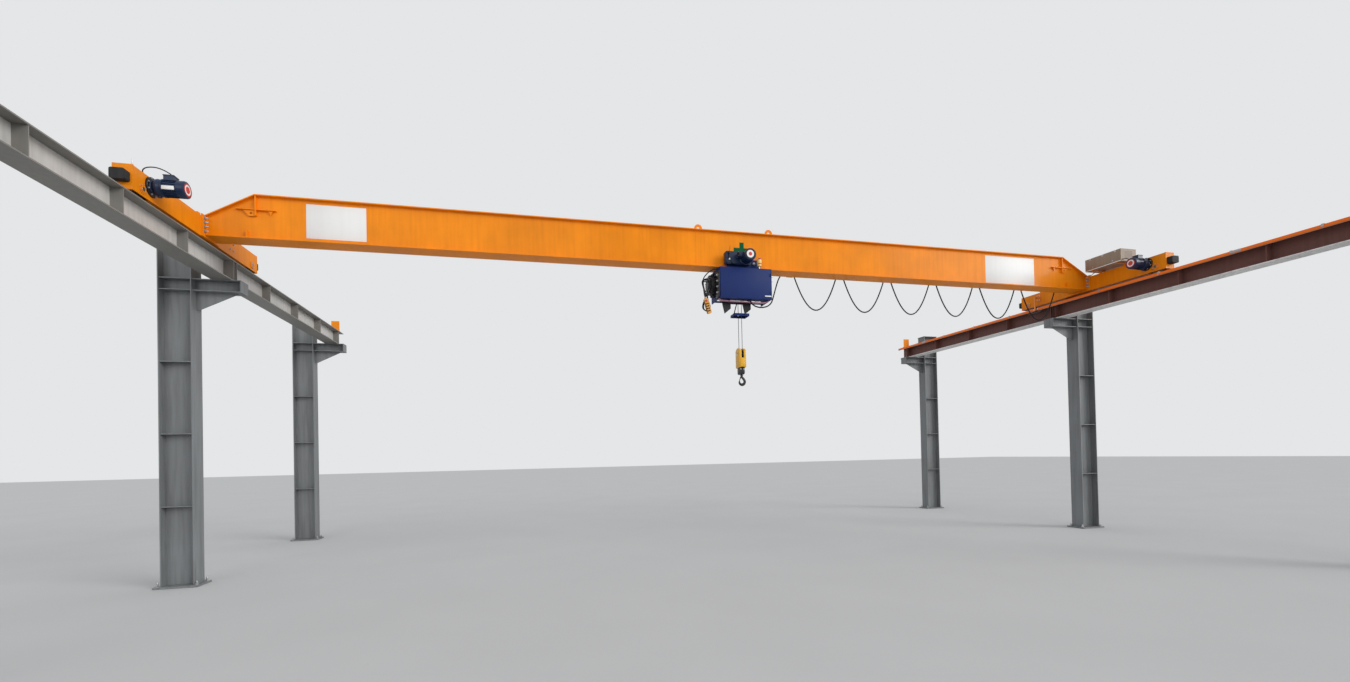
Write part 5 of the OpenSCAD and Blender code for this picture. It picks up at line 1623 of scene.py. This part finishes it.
def crosshead():
    shape = bmesh.new()
    outside = round_corners(2 * (HOUSING_HALF - HOUSING_T), 2 * (HOUSING_DEPTH - HOUSING_T), 0.004, 6)
    bore = [(SHANK_BORE_R * math.cos(a), SHANK_BORE_R * math.sin(a))
            for a in (math.atan2(y, x) for x, y in outside)]
    seat = block_seat(0, 0, CROSSHEAD_LOW, UP)
    skin_round(shape, [[seat @ Vector((x, y, z)) for x, y in edge]
                       for edge, z in ((outside, 0), (outside, CROSSHEAD_H), (bore, CROSSHEAD_H), (bore, 0))])
    block_piece("crosshead", shape, black_paint)


housing()
crosshead()
print("housing", round(2 * HOUSING_HALF, 3), "m wide")

# %% [markdown]
# The push-button station hangs head down from its cable's boot. Its front has a red stop button and
# two rows of black buttons with plain collars, four screws in the corners and the seam of its two
# halves.

# %% Push-button station
STATION_TILT = math.radians(-15)
STATION_W = 0.064
STATION_H = 0.230
STATION_T = 0.056
BUTTON = [(0, 0.0125), (0.003, 0.012), (0.003, 0.009), (0.008, 0.0085), (0.009, 0.007), (0.009, 0)]
STOP_BUTTON = [(0, 0.009), (0.006, 0.009), (0.007, 0.015), (0.012, 0.016), (0.016, 0.011), (0.017, 0)]


def station_fittings():
    foot = Vector((HOIST_X - 0.595, low("pendant_hank").y - 0.0003, low("pendant_hank").z - 0.044))
    seat = Matrix.Translation(foot) @ Matrix.Rotation(STATION_TILT, 4, "Y")
    outward = Matrix.Rotation(math.pi / 2, 4, "X")
    dark, red, metal = bmesh.new(), bmesh.new(), bmesh.new()

    def on_front(x, z):
        return seat @ Matrix.Translation((x, -STATION_T, z)) @ outward

    for row in range(4):
        for x in (-0.015, 0.015):
            turned(dark, on_front(x, 0.035 + 0.038 * row), BUTTON, 24)
    turned(red, on_front(0, 0.197), STOP_BUTTON, 32)
    for x in (-0.025, 0.025):
        for z in (0.014, 0.216):
            turned(metal, on_front(x, z), [(0, 0.004), (0.0015, 0.0038), (0.002, 0.0025), (0.002, 0)], 12)
    outline = round_corners(STATION_W + 0.001, STATION_H + 0.001, 0.012)
    seam = seat @ Matrix.Translation((0, -STATION_T / 2 - 0.001, STATION_H / 2)) @ outward
    cut_plate(dark, seam, outline, 0.0015)
    put("station_buttons", dark, rubber, "hoist")
    put("station_stop", red, label_red, "hoist")
    put("station_screws", metal, zinc, "hoist")


station_fittings()
print("station dressed")

# %% [markdown]
# The stage is a plain pale floor that runs off to the horizon and a white surround. The floor is not
# part of the crane. Seen by the camera the surround is the colour of the floor, and everything else
# sees a slightly cool studio sky. The floor keeps the crane's soft shadow.

# %% Stage and light


def floor_sheet(size):
    mesh = bpy.data.meshes.new("floor")
    half = size / 2
    corners = [(-half, -half, 0), (half, -half, 0), (half, half, 0), (-half, half, 0)]
    mesh.from_pydata(corners, [], [(0, 1, 2, 3)])
    paint = finish("floor_pale", (0.56, 0.56, 0.55), (0.5, 0.5, 0.48), 0.7, streak=0.05, scale=0.6,
                   grain=(1, 1, 1), peel=0, spread=0.02, shine=0)
    mesh.materials.append(paint)
    obj = bpy.data.objects.new("floor", mesh)
    obj.location.z = -0.002
    bpy.context.scene.collection.objects.link(obj)


def studio_world():
    world = bpy.data.worlds.new("studio")
    world.use_nodes = True
    tree = world.node_tree
    sky = tree.nodes["Background"]
    sky.inputs["Color"].default_value = (0.92, 0.95, 1.0, 1)
    sky.inputs["Strength"].default_value = 0.70
    plain = node(tree, "Background")
    plain.inputs["Color"].default_value = (0.78, 0.79, 0.80, 1)
    plain.inputs["Strength"].default_value = 1.0
    path = node(tree, "LightPath")
    seen = path.outputs["Is Camera Ray"]
    for ray in ("Is Glossy Ray", "Is Transmission Ray"):
        either = node(tree, "Math", operation="MAXIMUM")
        tree.links.new(seen, either.inputs[0])
        tree.links.new(path.outputs[ray], either.inputs[1])
        seen = either.outputs[0]
    choose = node(tree, "MixShader")
    tree.links.new(seen, choose.inputs["Fac"])
    tree.links.new(sky.outputs["Background"], choose.inputs[1])
    tree.links.new(plain.outputs["Background"], choose.inputs[2])
    tree.links.new(choose.outputs["Shader"], tree.nodes["World Output"].inputs["Surface"])
    bpy.context.scene.world = world


def lamp(name, place, strength, degrees, colour=(1, 1, 1)):
    data = bpy.data.lights.new(name, "SUN")
    data.energy = strength
    data.color = colour
    data.angle = math.radians(degrees)
    obj = bpy.data.objects.new(name, data)
    obj.location = place
    obj.rotation_euler = Vector(place).to_track_quat("Z", "Y").to_euler()
    bpy.context.scene.collection.objects.link(obj)


floor_sheet(160)
studio_world()
lamp("sun_soft", (13, -11, 7), 1.25, 30, (1.0, 0.98, 0.95))
lamp("door_side", (15, -9, 3.5), 0.5, 40, (0.95, 0.98, 1.0))
lamp("front_fill", (-3, -14, 3), 0.55, 40)
bpy.context.scene.view_settings.view_transform = "Standard"
